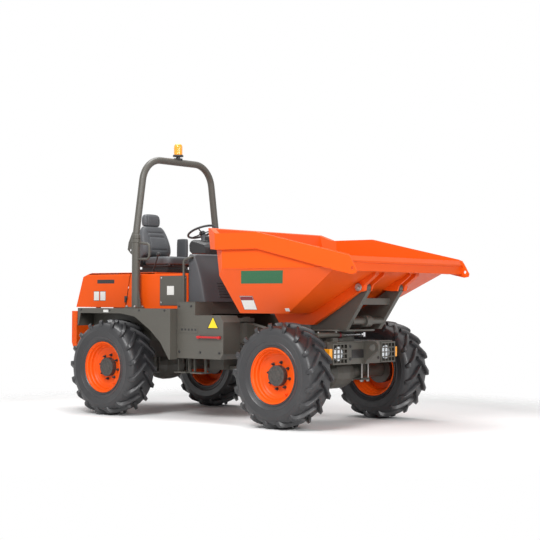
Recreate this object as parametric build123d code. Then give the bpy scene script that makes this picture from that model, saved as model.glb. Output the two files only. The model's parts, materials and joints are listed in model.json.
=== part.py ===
from build123d import *
import os
from math import atan2, cos, degrees, hypot, pi, radians, sin, sqrt, tan

# Site dumper with an articulated chassis and a slewing, tipping skip.
# Millimetres. +X forward, +Y left, +Z up, ground at Z = 0.
# Lengths along X are measured from the steering pivot, and the export moves all by origin_x.

# Running clearances
gap = 0.3
run_gap = 10.0
pin_gap = 0.6

# Wheels and axles
half_base = 1250.0
tyre_r = 540.0
tyre_width = 400.0
lug_depth = 38.0
lug_count = 17
wheel_y = 863.0
rim_r = 287.0
rim_half = 168.0
rim_well_r = 236.0
rim_wall = 12.0
disc_inset = 117.0
disc_wall = 16.0
hub_r = 107.0
hub_inset = 57.0
axle_r = 78.0
axle_flange_r = 150.0

# Steering
steer_lug_w = 300.0
steer_pin_r = 45.0
steer_top_z = 1060.0
steer_low_z = 560.0
steer_plate = 40.0
steer_range = 33.0

# Rear frame
rail_y = 330.0
rail_w = 80.0
rail_low = 640.0
rail_high = 900.0
rail_front = -285.0
gusset_rear = -340.0
gusset_front = -130.0
gusset_y = 230.0

# Sheet bodywork
sheet = 5.0
body_half = 610.0
body_low = 1212.0
cover_top = 1618.0
cover_front = -330.0
seam_low_x = -1315.0
seam_top_x = -1235.0
seam_gap = 12.0
console_rear = -1725.0
console_half = 335.0
console_low = 1480.0
hood_rear = -2170.0
hood_bend_x = -2050.0
hood_bend_z = 1570.0
hood_top_x = -1930.0
bumper_rear = -2235.0
bumper_front = -2150.0
bumper_low = 735.0
bumper_top = 1165.0
bumper_half = body_half + 10
hinge_x = -2140.0
hinge_z = 1205.0
hinge_r = 8.0
hinge_y = 270.0

# Fenders and side boxes
fender_y = body_half + 270
fender_rear = -1840.0
fender_front = -335.0
fender_top = 1204.0
fender_low = 650.0
arch_top = 1146.0
box_y = 775.0
box_inner = 500.0
box_rear = -330.0
box_front = 355.0
box_low = 665.0
box_top = 1275.0
shoulder_x = -60.0
shoulder_z = 1135.0
liner_y = body_half + 10
liner_low = 840.0
fender_sheet = 8.0

# Operator station
floor_top = 1275.0
seat_low = 1716.0
seat_top = 1800.0
wheel_x = -690.0
wheel_z = 2098.0
steer_wheel_r = 178.0
steer_wheel_tilt = 24.0
rim_grip = 13.0
column_r = 22.0

# Roll-over arch
rops_x = -1080.0
rops_leg_y = body_half + 70
rops_tube = 47.0
arch_tube = 40.0
rops_joint_z = 2000.0
rops_top_z = 2930.0
rops_shoulder_y = 545.0
rops_bend = 290.0

# Front frame
front_deck = 880.0
front_face = 1648.0
guard_back = 1588.0
guard_front = 1657.0
front_half = 410.0
neck_half = 170.0
neck_front = 800.0
frame_low = 645.0
lamp_y = 425.0
lamp_half = 128.0
spring_y = 415.0
spring_half = 70.0
lamp_top = 866.0

# Turntable and lifting arms
slew_x = 1250.0
ring_split = 945.0
deck_low = 985.0
deck_top = 1003.0
deck_r = 430.0
ring_r = 215.0
arm_inner = 260.0
arm_w = 60.0
pivot_x = 1870.0
pivot_z = 1440.0
pivot_pin_r = 25.0
pivot_boss_r = 46.0
ear_gap = 15.0

# Skip
skip_half = 1000.0
skip_wall = 8.0
bend_z = 1630.0
floor_z = 1165.0
floor_half = 735.0
lip_x = 2220.0
lip_z = 1745.0
rim_side_z = 2000.0
rim_rear_z = 2066.0
band_low = 1830.0
band = 30.0
rim_half_y = skip_half + band
flare = 28.0
ear_tip_x = 2294.0
lash_x = lip_x + 26
lash_z = 1616.0
lash_r = 18.0
tow_reach = 116.0
tow_z = 815.0
tow_r = 38.0
keel_w = 60.0
keel_low = 1048.0

# Rams, each from its base pin to its rod's eye
tip_base = (1670.0, 1090.0)
tip_eye = (720.0, 1105.0)
tip_range = 65.0
steer_base = (-560.0, -445.0)
steer_eye = (200.0, -330.0)
steer_ram_z = 780.0
slew_ram_x = 1500.0
slew_ram_r = 28.0
slew_mouth = -190.0
slew_end = 160.0
slew_range = 90.0


# A box between two corners
def block(x0, x1, y0, y1, z0, z1):
    return Pos((x0 + x1) / 2, (y0 + y1) / 2, (z0 + z1) / 2) * Box(x1 - x0, abs(y1 - y0), z1 - z0)


# A solid with a side-view outline, from one Y to another
def side_plate(points, y0, y1):
    face = make_face(Polyline(*[(x, 0, z) for x, z in points], close=True))
    return Pos(0, y0, 0) * extrude(face, y1 - y0, dir=(0, 1, 0))


# A solid with a plan outline, from one Z to another
def plan_plate(points, z0, z1):
    face = make_face(Polyline(*[(x, y, 0) for x, y in points], close=True))
    return Pos(0, 0, z0) * extrude(face, z1 - z0, dir=(0, 0, 1))


# A solid with a front-view outline, from one X to another
def front_plate(points, x0, x1):
    face = make_face(Polyline(*[(0, y, z) for y, z in points], close=True))
    return Pos(x0, 0, 0) * extrude(face, x1 - x0, dir=(1, 0, 0))


# A round bar as a many-sided prism, with more sides on a larger one
def round_bar(r, length):
    sides = 16 if r < 30 else 24 if r < 200 else 40
    return extrude(RegularPolygon(r, sides), length / 2, both=True)


# Round bars along each axis
def bar_x(x0, x1, y, z, r):
    return Pos((x0 + x1) / 2, y, z) * Rot(0, 90, 0) * round_bar(r, x1 - x0)


def bar_y(x, y0, y1, z, r):
    return Pos(x, (y0 + y1) / 2, z) * Rot(90, 0, 0) * round_bar(r, abs(y1 - y0))


def bar_z(x, y, z0, z1, r):
    return Pos(x, y, (z0 + z1) / 2) * round_bar(r, z1 - z0)


# A true round hole along Y, for a pin of another machine
def bore_y(x, y, z, r):
    return Pos(x, y, z) * Rot(90, 0, 0) * Cylinder(r, 60)


# A round tube bent through a list of points
def bent_tube(points, r, bend, sides=12, steps=4):
    corners = [Vector(*p) for p in points]
    spots = [corners[0]]
    for before, corner, after in zip(corners, corners[1:], corners[2:]):
        back = (before - corner).normalized()
        on = (after - corner).normalized()
        half = radians(back.get_angle(on)) / 2
        centre = corner + (back + on).normalized() * (bend / sin(half))
        start = corner + back * (bend / tan(half)) - centre
        end = corner + on * (bend / tan(half)) - centre
        for step in range(steps + 1):
            ray = start * (1 - step / steps) + end * (step / steps)
            spots.append(centre + ray.normalized() * bend)
    spots.append(corners[-1])
    side = (corners[1] - corners[0]).cross(corners[2] - corners[1])
    still = Vector(0, 0, 0)
    rings = []
    for index, spot in enumerate(spots):
        behind = (spot - spots[index - 1]).normalized() if index else still
        ahead = (spots[index + 1] - spot).normalized() if index + 1 < len(spots) else still
        along = (behind + ahead).normalized()
        side = (side - along * side.dot(along)).normalized()
        rings.append(Plane(origin=spot, x_dir=side, z_dir=along) * RegularPolygon(r, sides))
    return loft(rings, ruled=True)


# The same solids on the other side of the machine
def both_sides(shape):
    return shape + mirror(shape, about=Plane.XZ)


# A side-view outline across Y with its ends drawn in, for soft and moulded pieces
def soft_plate(points, y0, y1, edge, pull=0.82):
    mid_x = sum(x for x, z in points) / len(points)
    mid_z = sum(z for x, z in points) / len(points)
    small = [(mid_x + (x - mid_x) * pull, mid_z + (z - mid_z) * pull) for x, z in points]
    rings = [(small, y0), (points, y0 + edge), (points, y1 - edge), (small, y1)]
    faces = [make_face(Polyline(*[(x, y, z) for x, z in ring], close=True)) for ring, y in rings]
    return loft(faces, ruled=True)


# Everything on the inner side of a plane through a point with an outward normal
def keep_inside(shape, point, normal):
    side = split(shape, Plane(origin=point, z_dir=normal), keep=Keep.BOTTOM)
    return side


# A many-sided turned form about Y from (radius, y) stations
def turned(stations, sides=24):
    rings = [Plane(origin=(0, y, 0), z_dir=(0, 1, 0)) * RegularPolygon(r, sides) for r, y in stations]
    return loft(rings, ruled=True)


# A wheel's tyre about its own centre, axis along Y, with slanted lugs
def make_tyre():
    carcass_r = tyre_r - lug_depth
    half = tyre_width / 2
    bead_r = rim_r + gap / cos(pi / 20)
    sides = 2 * lug_count
    carcass = turned([(rim_r + 14, -half + 24), (carcass_r - 78, -half), (carcass_r - 4, -half + 60),
                      (carcass_r - 4, half - 60), (carcass_r - 78, half), (rim_r + 14, half - 24)], sides)
    carcass -= turned([(bead_r, -half - 5), (bead_r, half + 5)], 20)
    lugs = []
    for side in (1, -1):
        for index in range(lug_count):
            turn = (index + (0.5 if side < 0 else 0)) * 360 / lug_count
            lugs.append(Rot(0, turn, 0) * make_lug(side))
    return carcass.fuse(*lugs)


# One tread lug from the centre line to the shoulder, slanted in plan
def make_lug(side):
    root = tyre_r - lug_depth - 16
    lean = 150.0
    nose = 40.0
    tail = 62.0
    middle = side * -8.0
    end = side * (tyre_width / 2 - 16)
    plan = [(-lean / 2 - nose / 2, middle), (-lean / 2 + nose / 2, middle),
            (lean / 2 + tail / 2, end), (lean / 2 - tail / 2, end)]
    face = make_face(Polyline(*[(x, y, root) for x, y in plan], close=True))
    lug = extrude(face, tyre_r - root, dir=(0, 0, 1), taper=6)
    sides = 2 * lug_count
    tread = turned([(tyre_r, -tyre_width), (tyre_r, tyre_width)], sides)
    return lug & tread


# A drop-centre rim with its disc and hub, axis along Y, outside towards +Y
def make_rim():
    out = rim_half
    sides = 20
    seat_r = rim_r - 24
    stations = [(rim_r, -out), (seat_r, -out + 24), (rim_well_r, -out + 100), (rim_well_r, out - 100),
                (seat_r, out - 24), (rim_r, out)]
    inner = [(r - rim_wall, y) for r, y in stations]
    inner[0] = (rim_r - rim_wall, -out - 1)
    inner[-1] = (rim_r - rim_wall, out + 1)
    shell = turned(stations, sides) - turned(inner, sides)
    face_y = out - disc_inset
    hub_y = out - hub_inset
    disc = turned([(rim_well_r - 4, face_y - disc_wall - 34), (rim_well_r - 4, face_y - 34),
                   (hub_r + 70, face_y)], sides)
    dish = turned([(rim_well_r - 40, face_y - disc_wall - 35), (hub_r + 66, face_y - disc_wall)], sides)
    hub = turned([(hub_r, face_y - disc_wall), (hub_r, hub_y - 8), (hub_r - 8, hub_y)], sides)
    return shell + (disc - dish) + hub


# Convex skip body from its outer planes, each moved in by the given inset
def skip_form(inset, top, rear_flare=0):
    form = block(200, 2400, -1200, 1200, 900, top)
    slope = atan2(skip_half - floor_half, bend_z - floor_z)
    for s in (1, -1):
        form = inside(form, (0, s * skip_half, 0), (0, s, 0), inset)
        form = inside(form, (0, s * floor_half, floor_z), (0, s * cos(slope), -sin(slope)), inset)
        form = inside(form, (527, s * skip_half, 1826), (-0.47, s * 0.88, -0.02), inset - rear_flare)
        form = inside(form, (1944, s * 970, 1582), (0.54, s * 0.09, -1), inset)
    form = inside(form, (395, 0, 1830), (-1, 0, -0.24), inset - rear_flare)
    form = inside(form, (0, 0, floor_z), (0, 0, -1), inset)
    form = inside(form, (2110, 0, 1625), (0.53, 0, -1), inset)
    return form


# The part of a shape behind a plane that is moved in by an inset
def inside(shape, point, normal, inset):
    unit = Vector(*normal).normalized()
    return split(shape, Plane(origin=Vector(*point) - unit * inset, z_dir=unit), keep=Keep.BOTTOM)


def make_skip_shell():
    rim = [(200, rim_rear_z), (325, rim_rear_z), (475, rim_side_z), (1030, rim_side_z)]
    under_rim = side_plate([*rim, (lip_x - 30, lip_z + 6), (lip_x - 30, 800), (200, 800)], -1300, 1300)
    band_outline = [*rim, (lip_x - 34, lip_z), (lip_x, lip_z - 50), (lip_x, 1676), (1976, 1612),
                    (1030, band_low), (475, band_low), (200, band_low + 20)]
    outer = skip_form(0, 2200)
    shell = (outer & under_rim) - skip_form(skip_wall, 2300)
    rail = (skip_form(-band, 2200, flare) - outer) & side_plate(band_outline, -1300, 1300)
    lip = side_plate([(lip_x - 100, 1592), (lip_x - 12, 1592), (lip_x - 12, lip_z - 66), (lip_x, lip_z - 62),
                      (lip_x, lip_z - 50), (lip_x - 34, lip_z), (lip_x - 42, lip_z + 4), (lip_x - 100, 1632)],
                     -skip_half - band, skip_half + band)
    lip -= skip_form(skip_wall, 2300) & block(2000, lip_x - 30, -1200, 1200, 1500, 2300)
    ear = side_plate([(1980, 1611), (lip_x - 16, lip_z - 4), (lip_x + 12, lip_z - 43), (ear_tip_x, 1598),
                      (ear_tip_x - 6, 1566), (ear_tip_x - 58, 1557)], rim_half_y - 18, rim_half_y)
    ear -= bore_y(lash_x, rim_half_y - 9, lash_z, lash_r)
    return shell.fuse(rail, lip, *both_sides(ear).solids())


# Rails under the skip that carry its pivot pins, and the ram's bracket
def make_skip_keel():
    clear = skip_form(-gap, 2200)
    inner = arm_inner + arm_w + ear_gap
    rail = side_plate([(700, 1230), (820, keel_low + 4), (1270, keel_low), (1560, 1215), (1840, 1388), (1915, 1405),
                       (1925, 1460), (2060, 1560), (2110, 1700), (700, 1300)], inner, inner + keel_w) - clear
    rail += bar_y(pivot_x, inner, inner + keel_w + 12, pivot_z, pivot_boss_r)
    ear = side_plate([(1690, 1420), (1830, 1405), (1905, 1405), (1925, 1460), (2060, 1560), (2110, 1700),
                      (1690, 1500)], arm_inner - ear_gap - 20, arm_inner - ear_gap) - clear
    pin = bar_y(pivot_x, arm_inner - ear_gap - 20, inner + keel_w + 20, pivot_z, pivot_pin_r)
    side = rail + ear + pin
    lug = side_plate([(tip_eye[0] - 60, 1200), (tip_eye[0] - 30, tip_eye[1] - 36), (tip_eye[0] + 30, tip_eye[1] - 36),
                      (tip_eye[0] + 60, 1200)], 34, 50) - clear
    lug += bar_y(tip_eye[0], 45, 60, tip_eye[1], 24)
    return Compound(children=[*both_sides(side).solids(), *both_sides(lug).solids()])


# Arms from the turntable to the skip's pivots, with their cross beams
def make_lift_arms():
    arm = side_plate([(1180, deck_top + gap), (1640, deck_top + gap), (1915, 1405), (1880, 1484), (1838, 1472),
                      (1600, 1318), (1300, 1150), (1180, 1110)], arm_inner, arm_inner + arm_w)
    arm = both_sides(arm + bar_y(pivot_x, arm_inner, arm_inner + arm_w, pivot_z, pivot_boss_r))
    beam = block(1735, 1785, -arm_inner, arm_inner, 1262, 1330)
    tube = bar_y(tip_base[0], -arm_inner, arm_inner, tip_base[1], 35)
    bore = bar_y(pivot_x, -500, 500, pivot_z, pivot_pin_r + pin_gap)
    return arm + beam + tube - bore


def make_turntable():
    return bar_z(slew_x, 0, deck_low, deck_top, deck_r) + bar_z(slew_x, 0, ring_split + gap, deck_low, ring_r)


# Frame of the front half: steering boss, neck, axle box and slewing ring seat
def make_front_frame():
    boss = bar_z(0, 0, steer_low_z + run_gap, steer_top_z - run_gap, 2 * steer_pin_r)
    neck = plan_plate([(0, -80), (160, -neck_half), (neck_front, -neck_half), (neck_front, neck_half),
                       (160, neck_half), (0, 80)], 600, front_deck - 60)
    brace = side_plate([(0, 600), (0, steer_top_z - run_gap), (60, steer_top_z - run_gap), (neck_front, front_deck),
                        (neck_front, 600)], -60, 60)
    body = block(neck_front, guard_back, -front_half, front_half, frame_low, front_deck)
    body -= bar_y(half_base, -290, 290, tyre_r, 190)
    body += block(guard_back - 10, guard_back, -lamp_y - lamp_half, lamp_y + lamp_half, frame_low, front_deck)
    middle = lamp_y - lamp_half - gap
    face = block(guard_back, front_face, -middle, middle, frame_low, front_deck)
    face += block(guard_back - 10, front_face + 14, -lamp_y - 60, lamp_y + 60, front_deck - 10, front_deck)
    for s in (1, -1):
        face += block(half_base - 120, half_base + 120, s * (front_half - 5), s * (spring_y + spring_half), frame_low,
                      frame_low + 50)
    ring = bar_z(slew_x, 0, front_deck, ring_split, ring_r)
    eye = side_plate([(front_face, 642), (front_face + 22, 642), (front_face + 50, 690), (front_face + 186, 792),
                      (front_face + 192, 836), (front_face + 160, 880), (front_face, 880)], -18, 18)
    eye -= bore_y(front_face + tow_reach, 0, tow_z, tow_r)
    arm = block(steer_eye[0] - 30, steer_eye[0] + 30, steer_eye[1] - 30, -neck_half + 10, steer_ram_z + 28,
                steer_ram_z + 44)
    arm += mirror(arm, Plane.XY.offset(steer_ram_z))
    pin = bar_z(steer_eye[0], steer_eye[1], steer_ram_z + 44, steer_ram_z + 54, 20)
    seat = block(slew_ram_x - 45, slew_ram_x + 45, slew_mouth - 215, slew_mouth - 135, front_deck,
                 ring_split - slew_ram_r - gap)
    frame = boss + neck + brace + body + face + ring + eye + arm + pin + seat
    return frame - bar_z(0, 0, 0, 2000, steer_pin_r + pin_gap)


# A straight axle with its casing, spring seats, clamp studs and wheel flanges
def make_axle(x, low, seat_y, seat_half):
    flange_end = wheel_y + rim_half - disc_inset - disc_wall - gap
    casing = [(axle_r, -flange_end + 40), (axle_r, -225), (160, -140), (175, -60), (175, 60), (160, 140),
              (axle_r, 225), (axle_r, flange_end - 40)]
    axle = Pos(x, 0, tyre_r) * turned(casing, 16)
    for s in (1, -1):
        axle += bar_y(x, s * (flange_end - 70), s * flange_end, tyre_r, axle_flange_r)
        axle += block(x - 90, x + 90, s * seat_y - seat_half, s * seat_y + seat_half, tyre_r, low - gap)
        axle += block(x - 120, x + 120, s * seat_y - seat_half, s * seat_y + seat_half, tyre_r - axle_r - 16,
                      tyre_r - axle_r + 6)
        for dx in (-104, 104):
            for dy in (12 - seat_half, seat_half - 12):
                axle += block(x + dx - 8, x + dx + 8, s * seat_y + dy - 8, s * seat_y + dy + 8, tyre_r - axle_r - 30,
                              low - gap)
    return axle


def make_rear_frame():
    inner = gusset_y
    outer = inner + rail_w
    rail_rear = bumper_front + gap
    rails = both_sides(block(rail_rear, rail_front, inner, outer, rail_low, rail_high))
    frame = rails + block(gusset_rear, gusset_front, -inner, inner, steer_low_z - steer_plate, steer_top_z + steer_plate)
    nose = [(gusset_rear, -150), (-40, -130), (40, -100), (90, -40), (90, 40), (40, 100), (-40, 130), (gusset_rear, 150)]
    frame += plan_plate(nose, steer_top_z, steer_top_z + steer_plate)
    frame += plan_plate(nose, steer_low_z - steer_plate, steer_low_z)
    frame += bar_z(0, 0, steer_low_z - steer_plate - 15, steer_top_z + steer_plate + 15, steer_pin_r)
    for x in (-1850, -1520, -950):
        frame += block(x - 40, x + 40, -inner, inner, rail_low, 700)
    for s in (1, -1):
        for x in (-1720, -700):
            frame += block(x - 30, x + 30, s * (outer - 5), s * (liner_y - gap), liner_low + 5, rail_high)
        frame += block(-325, rail_front, s * (outer - 5), s * (box_inner - gap), 862, rail_high)
        frame += block(bumper_front + gap, hinge_x + 20, s * (hinge_y - 12), s * hinge_y, rail_high - 5, hinge_z + 14)
        frame += bar_y(hinge_x, s * (hinge_y - 5), s * (hinge_y + 34), hinge_z, hinge_r)
    bracket = block(steer_base[0] - 35, steer_base[0] + 35, steer_base[1] - 30, -outer + 5, steer_ram_z + 40,
                    steer_ram_z + 56)
    pin = bar_z(steer_base[0], steer_base[1], steer_ram_z - 30, steer_ram_z + 42, 14)
    return frame + bracket + pin


def make_engine():
    return block(-1930, -1180, -gusset_y + gap, gusset_y - gap, 730, 1430)


# Fixed cover with the seat's console, and a foot well that is open on the left
def make_cover():
    low = fender_top + gap
    outline = [(seam_low_x, low), (cover_front, low), (cover_front, cover_top), (seam_top_x, cover_top)]
    cover = side_plate(outline, -body_half, body_half)
    edges = cover.edges().filter_by(Axis.X).group_by(Axis.Z)[-1]
    cover = fillet(edges, 40)
    cut = [(seam_low_x - 50, low - 20), (-855, low - 20), (-855, cover_top - sheet), (seam_top_x - 50, cover_top - sheet)]
    cover -= side_plate(cut, -body_half + sheet, body_half - sheet)
    cover -= block(-850, cover_front + 10, -body_half + sheet, body_half + 10, 1290, cover_top + 10)
    cover -= block(-856, cover_front - sheet, -body_half + sheet, body_half - sheet, low - 20, 1284)
    console = block(console_rear, seam_top_x + 40, -console_half, console_half, console_low, cover_top)
    console -= block(console_rear + sheet, seam_top_x + 60, -console_half + sheet, console_half - sheet,
                     console_low - 10, cover_top - sheet)
    return cover + console


# Rear hood with its air slots and hinge lugs
def make_hood():
    outline = [(hood_rear, body_low), (hood_bend_x, hood_bend_z), (hood_top_x, cover_top),
               (seam_top_x - seam_gap, cover_top), (seam_low_x - seam_gap, body_low)]
    hood = side_plate(outline, -body_half, body_half)
    edges = hood.edges().filter_by(Axis.X).group_by(Axis.Z)[-1]
    hood = fillet(edges, 40)
    inner = [(hood_rear + sheet, body_low - 10), (hood_bend_x + sheet + 1, hood_bend_z - 3),
             (hood_top_x + 2, cover_top - sheet), (seam_top_x + 60, cover_top - sheet), (seam_low_x + 60, body_low - 10)]
    hood -= side_plate(inner, -body_half + sheet, body_half - sheet)
    hood -= block(console_rear - seam_gap, 0, -console_half - seam_gap, console_half + seam_gap, console_low - 60,
                  cover_top + 10)
    for row in range(6):
        hood -= block(hood_rear - 20, hood_bend_x + 60, -360, 360, 1275 + 42 * row, 1297 + 42 * row)
    lug = block(hood_rear + 3, hinge_x + 22, hinge_y + 12, hinge_y + 28, hinge_z - 14, hinge_z + 32)
    lug -= bar_y(hinge_x, hinge_y - 60, hinge_y + 90, hinge_z, hinge_r + pin_gap)
    return hood.fuse(*both_sides(lug).solids())


def make_bumper():
    bumper = side_plate([(bumper_rear, 790), (bumper_rear + 25, bumper_low), (bumper_front, bumper_low),
                         (bumper_front, bumper_top), (bumper_rear, bumper_top)], -bumper_half, bumper_half)
    return bumper


# Mudguards with a wheel arch, inner liner and a closed front end
def make_fenders():
    t = fender_sheet
    arch = [(-1790, arch_top), (-1120, arch_top), (-890, 1112), (-645, 965), (-488, 836), (-330 - t, fender_low - 20),
            (-1900, fender_low - 20), (-1900, 960), (-1820, 1020)]
    side = side_plate([(fender_rear, 946), (fender_rear, fender_top), (fender_front, fender_top),
                       (fender_front, fender_low), (-420, fender_low - 10)], fender_y - t, fender_y)
    side -= side_plate(arch, fender_y - 50, fender_y + 50)
    deck = block(fender_rear, fender_front, body_half - 20, fender_y, fender_top - t, fender_top)
    liner = block(fender_rear, fender_front, liner_y, liner_y + t, liner_low, fender_top)
    tail = block(fender_rear, fender_rear + t, liner_y, fender_y, 1000, fender_top)
    end = block(fender_front - t, fender_front, liner_y, fender_y, fender_low, fender_top)
    return both_sides(side + deck + liner + tail + end)


# Side boxes with a low front shoulder, and the hanging steps
def make_side_boxes():
    outline = [(box_rear, box_low), (box_front - 40, box_low), (box_front, box_low + 60), (box_front, shoulder_z - 70),
               (box_front - 50, shoulder_z), (shoulder_x, shoulder_z), (shoulder_x, box_top), (box_rear, box_top)]
    box = side_plate(outline, box_inner, box_y)
    side = box
    for x in (-300, -60):
        side += block(x - 85, x + 85, box_y - 175, box_y - 15, 500, 512)
        side += block(x - 85, x - 75, box_y - 105, box_y - 75, 512, box_low)
        side += block(x + 75, x + 85, box_y - 105, box_y - 75, 512, box_low)
    return both_sides(side)


def make_platform():
    plate = block(box_rear, shoulder_x, -box_y + 5, box_y - 5, box_top + gap, box_top + 8)
    apron = block(shoulder_x - 8, shoulder_x, -box_inner + 5, box_inner - 5, 1150, box_top + gap)
    return plate + apron


# Moulded cowl in front of the driver, lofted from its foot to its top
def make_cowl():
    foot_z = box_top + 8 + gap
    side = body_half - 10
    foot = [(-325, side), (-120, side), (-82, side - 28), (-30, 420), (40, 230), (112, 60)]
    waist = [(-325, side), (-190, side), (-150, side - 28), (-105, 420), (-65, 230), (8, 60)]
    neck = [(-325, side), (-255, side), (-228, side - 28), (-205, 420), (-165, 230), (-98, 60)]
    crown = [(-325, side - 25), (-282, side - 25), (-262, side - 50), (-240, 410), (-205, 230), (-150, 60)]
    faces = []
    for half, z in ((foot, foot_z), (waist, 1560), (neck, 1770), (crown, 1815)):
        ring = [(x, y, z) for x, y in half] + [(x, -y, z) for x, y in reversed(half)]
        faces.append(make_face(Polyline(*ring, close=True)))
    cowl = loft(faces, ruled=True)
    legs = side_plate([(-400, foot_z + 4), (-120, foot_z + 4), (-270, 1780), (-400, 1780)], 120 - side, side - 120)
    return cowl - legs


def make_dash():
    shelf = soft_plate([(-560, 1822), (-598, 1850), (-606, 1940), (-585, 1978), (-540, 1990), (-330, 1936), (-298, 1900),
                        (-296, 1815 + gap), (-325, 1815 + gap), (-420, 1815 + gap)], -330, 330, 45, 0.8)
    pod = soft_plate([(-560, 1900), (-580, 2020), (-560, 2048), (-500, 2040), (-400, 1960), (-400, 1900)], -85, 85, 25)
    return shelf + pod - make_column(column_r + pin_gap)


# Steering wheel and column, tilted towards the driver
def make_steering():
    tilt = Pos(wheel_x, 0, wheel_z) * Rot(0, -steer_wheel_tilt, 0)
    mean = steer_wheel_r - rim_grip
    arc = [(cos(a), sin(a)) for a in (-pi / 2, -pi / 4, 0, pi / 4, pi / 2)]
    outer = turned([(mean + rim_grip * c, rim_grip * h) for c, h in arc], 28)
    inner = turned([(mean - rim_grip * c, rim_grip * h * 1.05) for c, h in arc], 28)
    ring = tilt * Rot(90, 0, 0) * (outer - inner)
    hub = tilt * Pos(0, 0, -20) * round_bar(36, 44)
    spokes = [tilt * Rot(0, 0, a) * Pos(mean / 2 + 8, 0, -4) * Box(mean - 26, 24, 8) for a in (60, 180, 300)]
    return ring.fuse(hub, make_column(column_r), *spokes)


def make_column(r):
    return Pos(wheel_x, 0, wheel_z) * Rot(0, -steer_wheel_tilt, 0) * Pos(0, 0, -110) * round_bar(r, 140)


# Seat: plinth and slide, then the soft pieces with their ends drawn in
def make_seat_base():
    base = block(-1540, -1040, -205, 205, cover_top + gap, 1664) + block(-1500, -1070, -170, 170, 1664, 1694)
    return base + block(-1560, -1030, -215, 215, 1694, seat_low)


def make_seat_cushion():
    return soft_plate([(-1440, seat_low + gap), (-1020, seat_low + gap), (-985, 1748), (-985, 1785), (-1010, 1812),
                       (-1070, 1826), (-1400, seat_top), (-1440, seat_top - 6)], -235, 235, 40, 0.9)


def make_seat_back():
    low = [(-1445, 230), (-1445, -230), (-1505, -225), (-1550, -150), (-1550, 150), (-1505, 225)]
    wide = [(-1375, 235), (-1375, -235), (-1470, -230), (-1540, -160), (-1540, 160), (-1470, 230)]
    high = [(-1440, 205), (-1440, -205), (-1500, -200), (-1560, -140), (-1560, 140), (-1500, 200)]
    crown = [(-1472, 150), (-1472, -150), (-1510, -150), (-1558, -110), (-1558, 110), (-1510, 150)]
    rings = ((low, seat_low + gap), (low, seat_top + 2), (wide, 1850), (wide, 1930), (high, 2110), (crown, 2190))
    back = loft([make_face(Polyline(*[(x, y, z) for x, y in ring], close=True)) for ring, z in rings], ruled=True)
    return back + block(-1560, -1500, -60, 60, seat_low + gap, 1850)


def make_headrest():
    return soft_plate([(-1560, 2190 + gap), (-1500, 2190 + gap), (-1478, 2225), (-1488, 2300), (-1515, 2330),
                       (-1562, 2330), (-1580, 2290), (-1578, 2215)], -125, 125, 35, 0.75)


def make_arm_pad():
    pad = soft_plate([(-1372, 1800), (-1215, 1800), (-1200, 1840), (-1203, 2010), (-1225, 2040), (-1345, 2048),
                      (-1368, 2020)], 275, 325, 12, 0.9)
    return pad + block(-1330, -1250, 288, 312, cover_top + gap, 1805)


def make_lever():
    place = Pos(-1165, -330, cover_top + gap) * Rot(0, 24, 0)
    stem = place * Pos(0, 0, 105) * round_bar(9, 230)
    foot = block(-1205, -1125, -365, -295, cover_top + gap, cover_top + 22)
    knob = place * Pos(0, 0, 235) * Rot(90, 0, 0) * turned([(12, -24), (25, -12), (25, 12), (12, 24)], 12)
    keep = block(-1400, -900, -500, -200, cover_top + gap, 2200)
    return (stem + foot + knob) & keep


# Lower posts of the arch, with feet, side guards and hinge plates
def make_posts():
    y = rops_leg_y
    post = bar_z(rops_x, y, fender_top + gap, rops_joint_z, rops_tube)
    post += block(rops_x - 85, rops_x + 85, y - 58, y + 95, fender_top + gap, fender_top + 16)
    post += side_plate([(rops_x + 30, fender_top + 10), (rops_x + 84, fender_top + 10), (rops_x + 46, 1420),
                        (rops_x + 30, 1420)], y - 8, y + 8)
    plate = side_plate([(rops_x - 30, 1790), (rops_x - 110, 1830), (rops_x - 165, 1880), (rops_x - 150, 1960),
                        (rops_x - 90, 2075), (rops_x - 50, 2105), (rops_x - 52, rops_joint_z - 4), (rops_x - 30, 1960)],
                       y - 34, y - 24)
    plate -= bar_y(rops_x - 118, y - 60, y, 1872, 14)
    loop = bent_tube([(rops_x + 20, y, 1955), (rops_x + 215, y, 1935), (rops_x + 215, y, 1765), (rops_x + 20, y, 1765)],
                     14, 45, 8, 3)
    return both_sides(post + plate + loop)


def make_arch():
    y = rops_leg_y
    foot = rops_joint_z + gap
    shoulder = rops_shoulder_y
    path = [(rops_x, -y, foot), (rops_x, -y, foot + 60), (rops_x, -shoulder, rops_top_z), (rops_x, shoulder, rops_top_z),
            (rops_x, y, foot + 60), (rops_x, y, foot)]
    return bent_tube(path, arch_tube, rops_bend)


def make_beacon_base():
    top = rops_top_z + arch_tube
    saddle = block(rops_x - 34, rops_x + 34, -40, 40, rops_top_z + 10, top + 10) - bar_y(
        rops_x, -60, 60, rops_top_z, arch_tube + gap)
    return saddle + bar_z(rops_x, 0, top + 8, top + 32, 24) + bar_z(rops_x, 0, top + 32, top + 50, 60)


def make_beacon_lens():
    low = rops_top_z + arch_tube + 50 + gap
    return Pos(rops_x, 0, low) * Rot(90, 0, 0) * turned([(52, 0), (52, 96), (44, 120), (24, 134)], 16)


def make_handrails():
    y = body_half + 30
    foot = fender_top + gap
    rail = bent_tube([(-362, y, foot), (-362, y, 1745), (-265, y, 1775), (-265, body_half - 10 + gap, 1775)],
                     14, 18, 8, 2)
    return both_sides(rail)


def make_access_panel():
    y = -body_half - gap
    panel = block(-757, cover_front - 15, y - 6, y, 1240, 1572)
    for x in (-730, cover_front - 42):
        panel += block(x - 9, x + 9, y - 10, y - 6, 1262, 1280)
    return panel


def make_lock_bar():
    y = -box_y - gap
    bar = bar_x(-10, 330, y - 24, 900, 11)
    return bar + block(0, 24, y - 30, y, 885, 915) + block(296, 320, y - 30, y, 885, 915)


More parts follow.
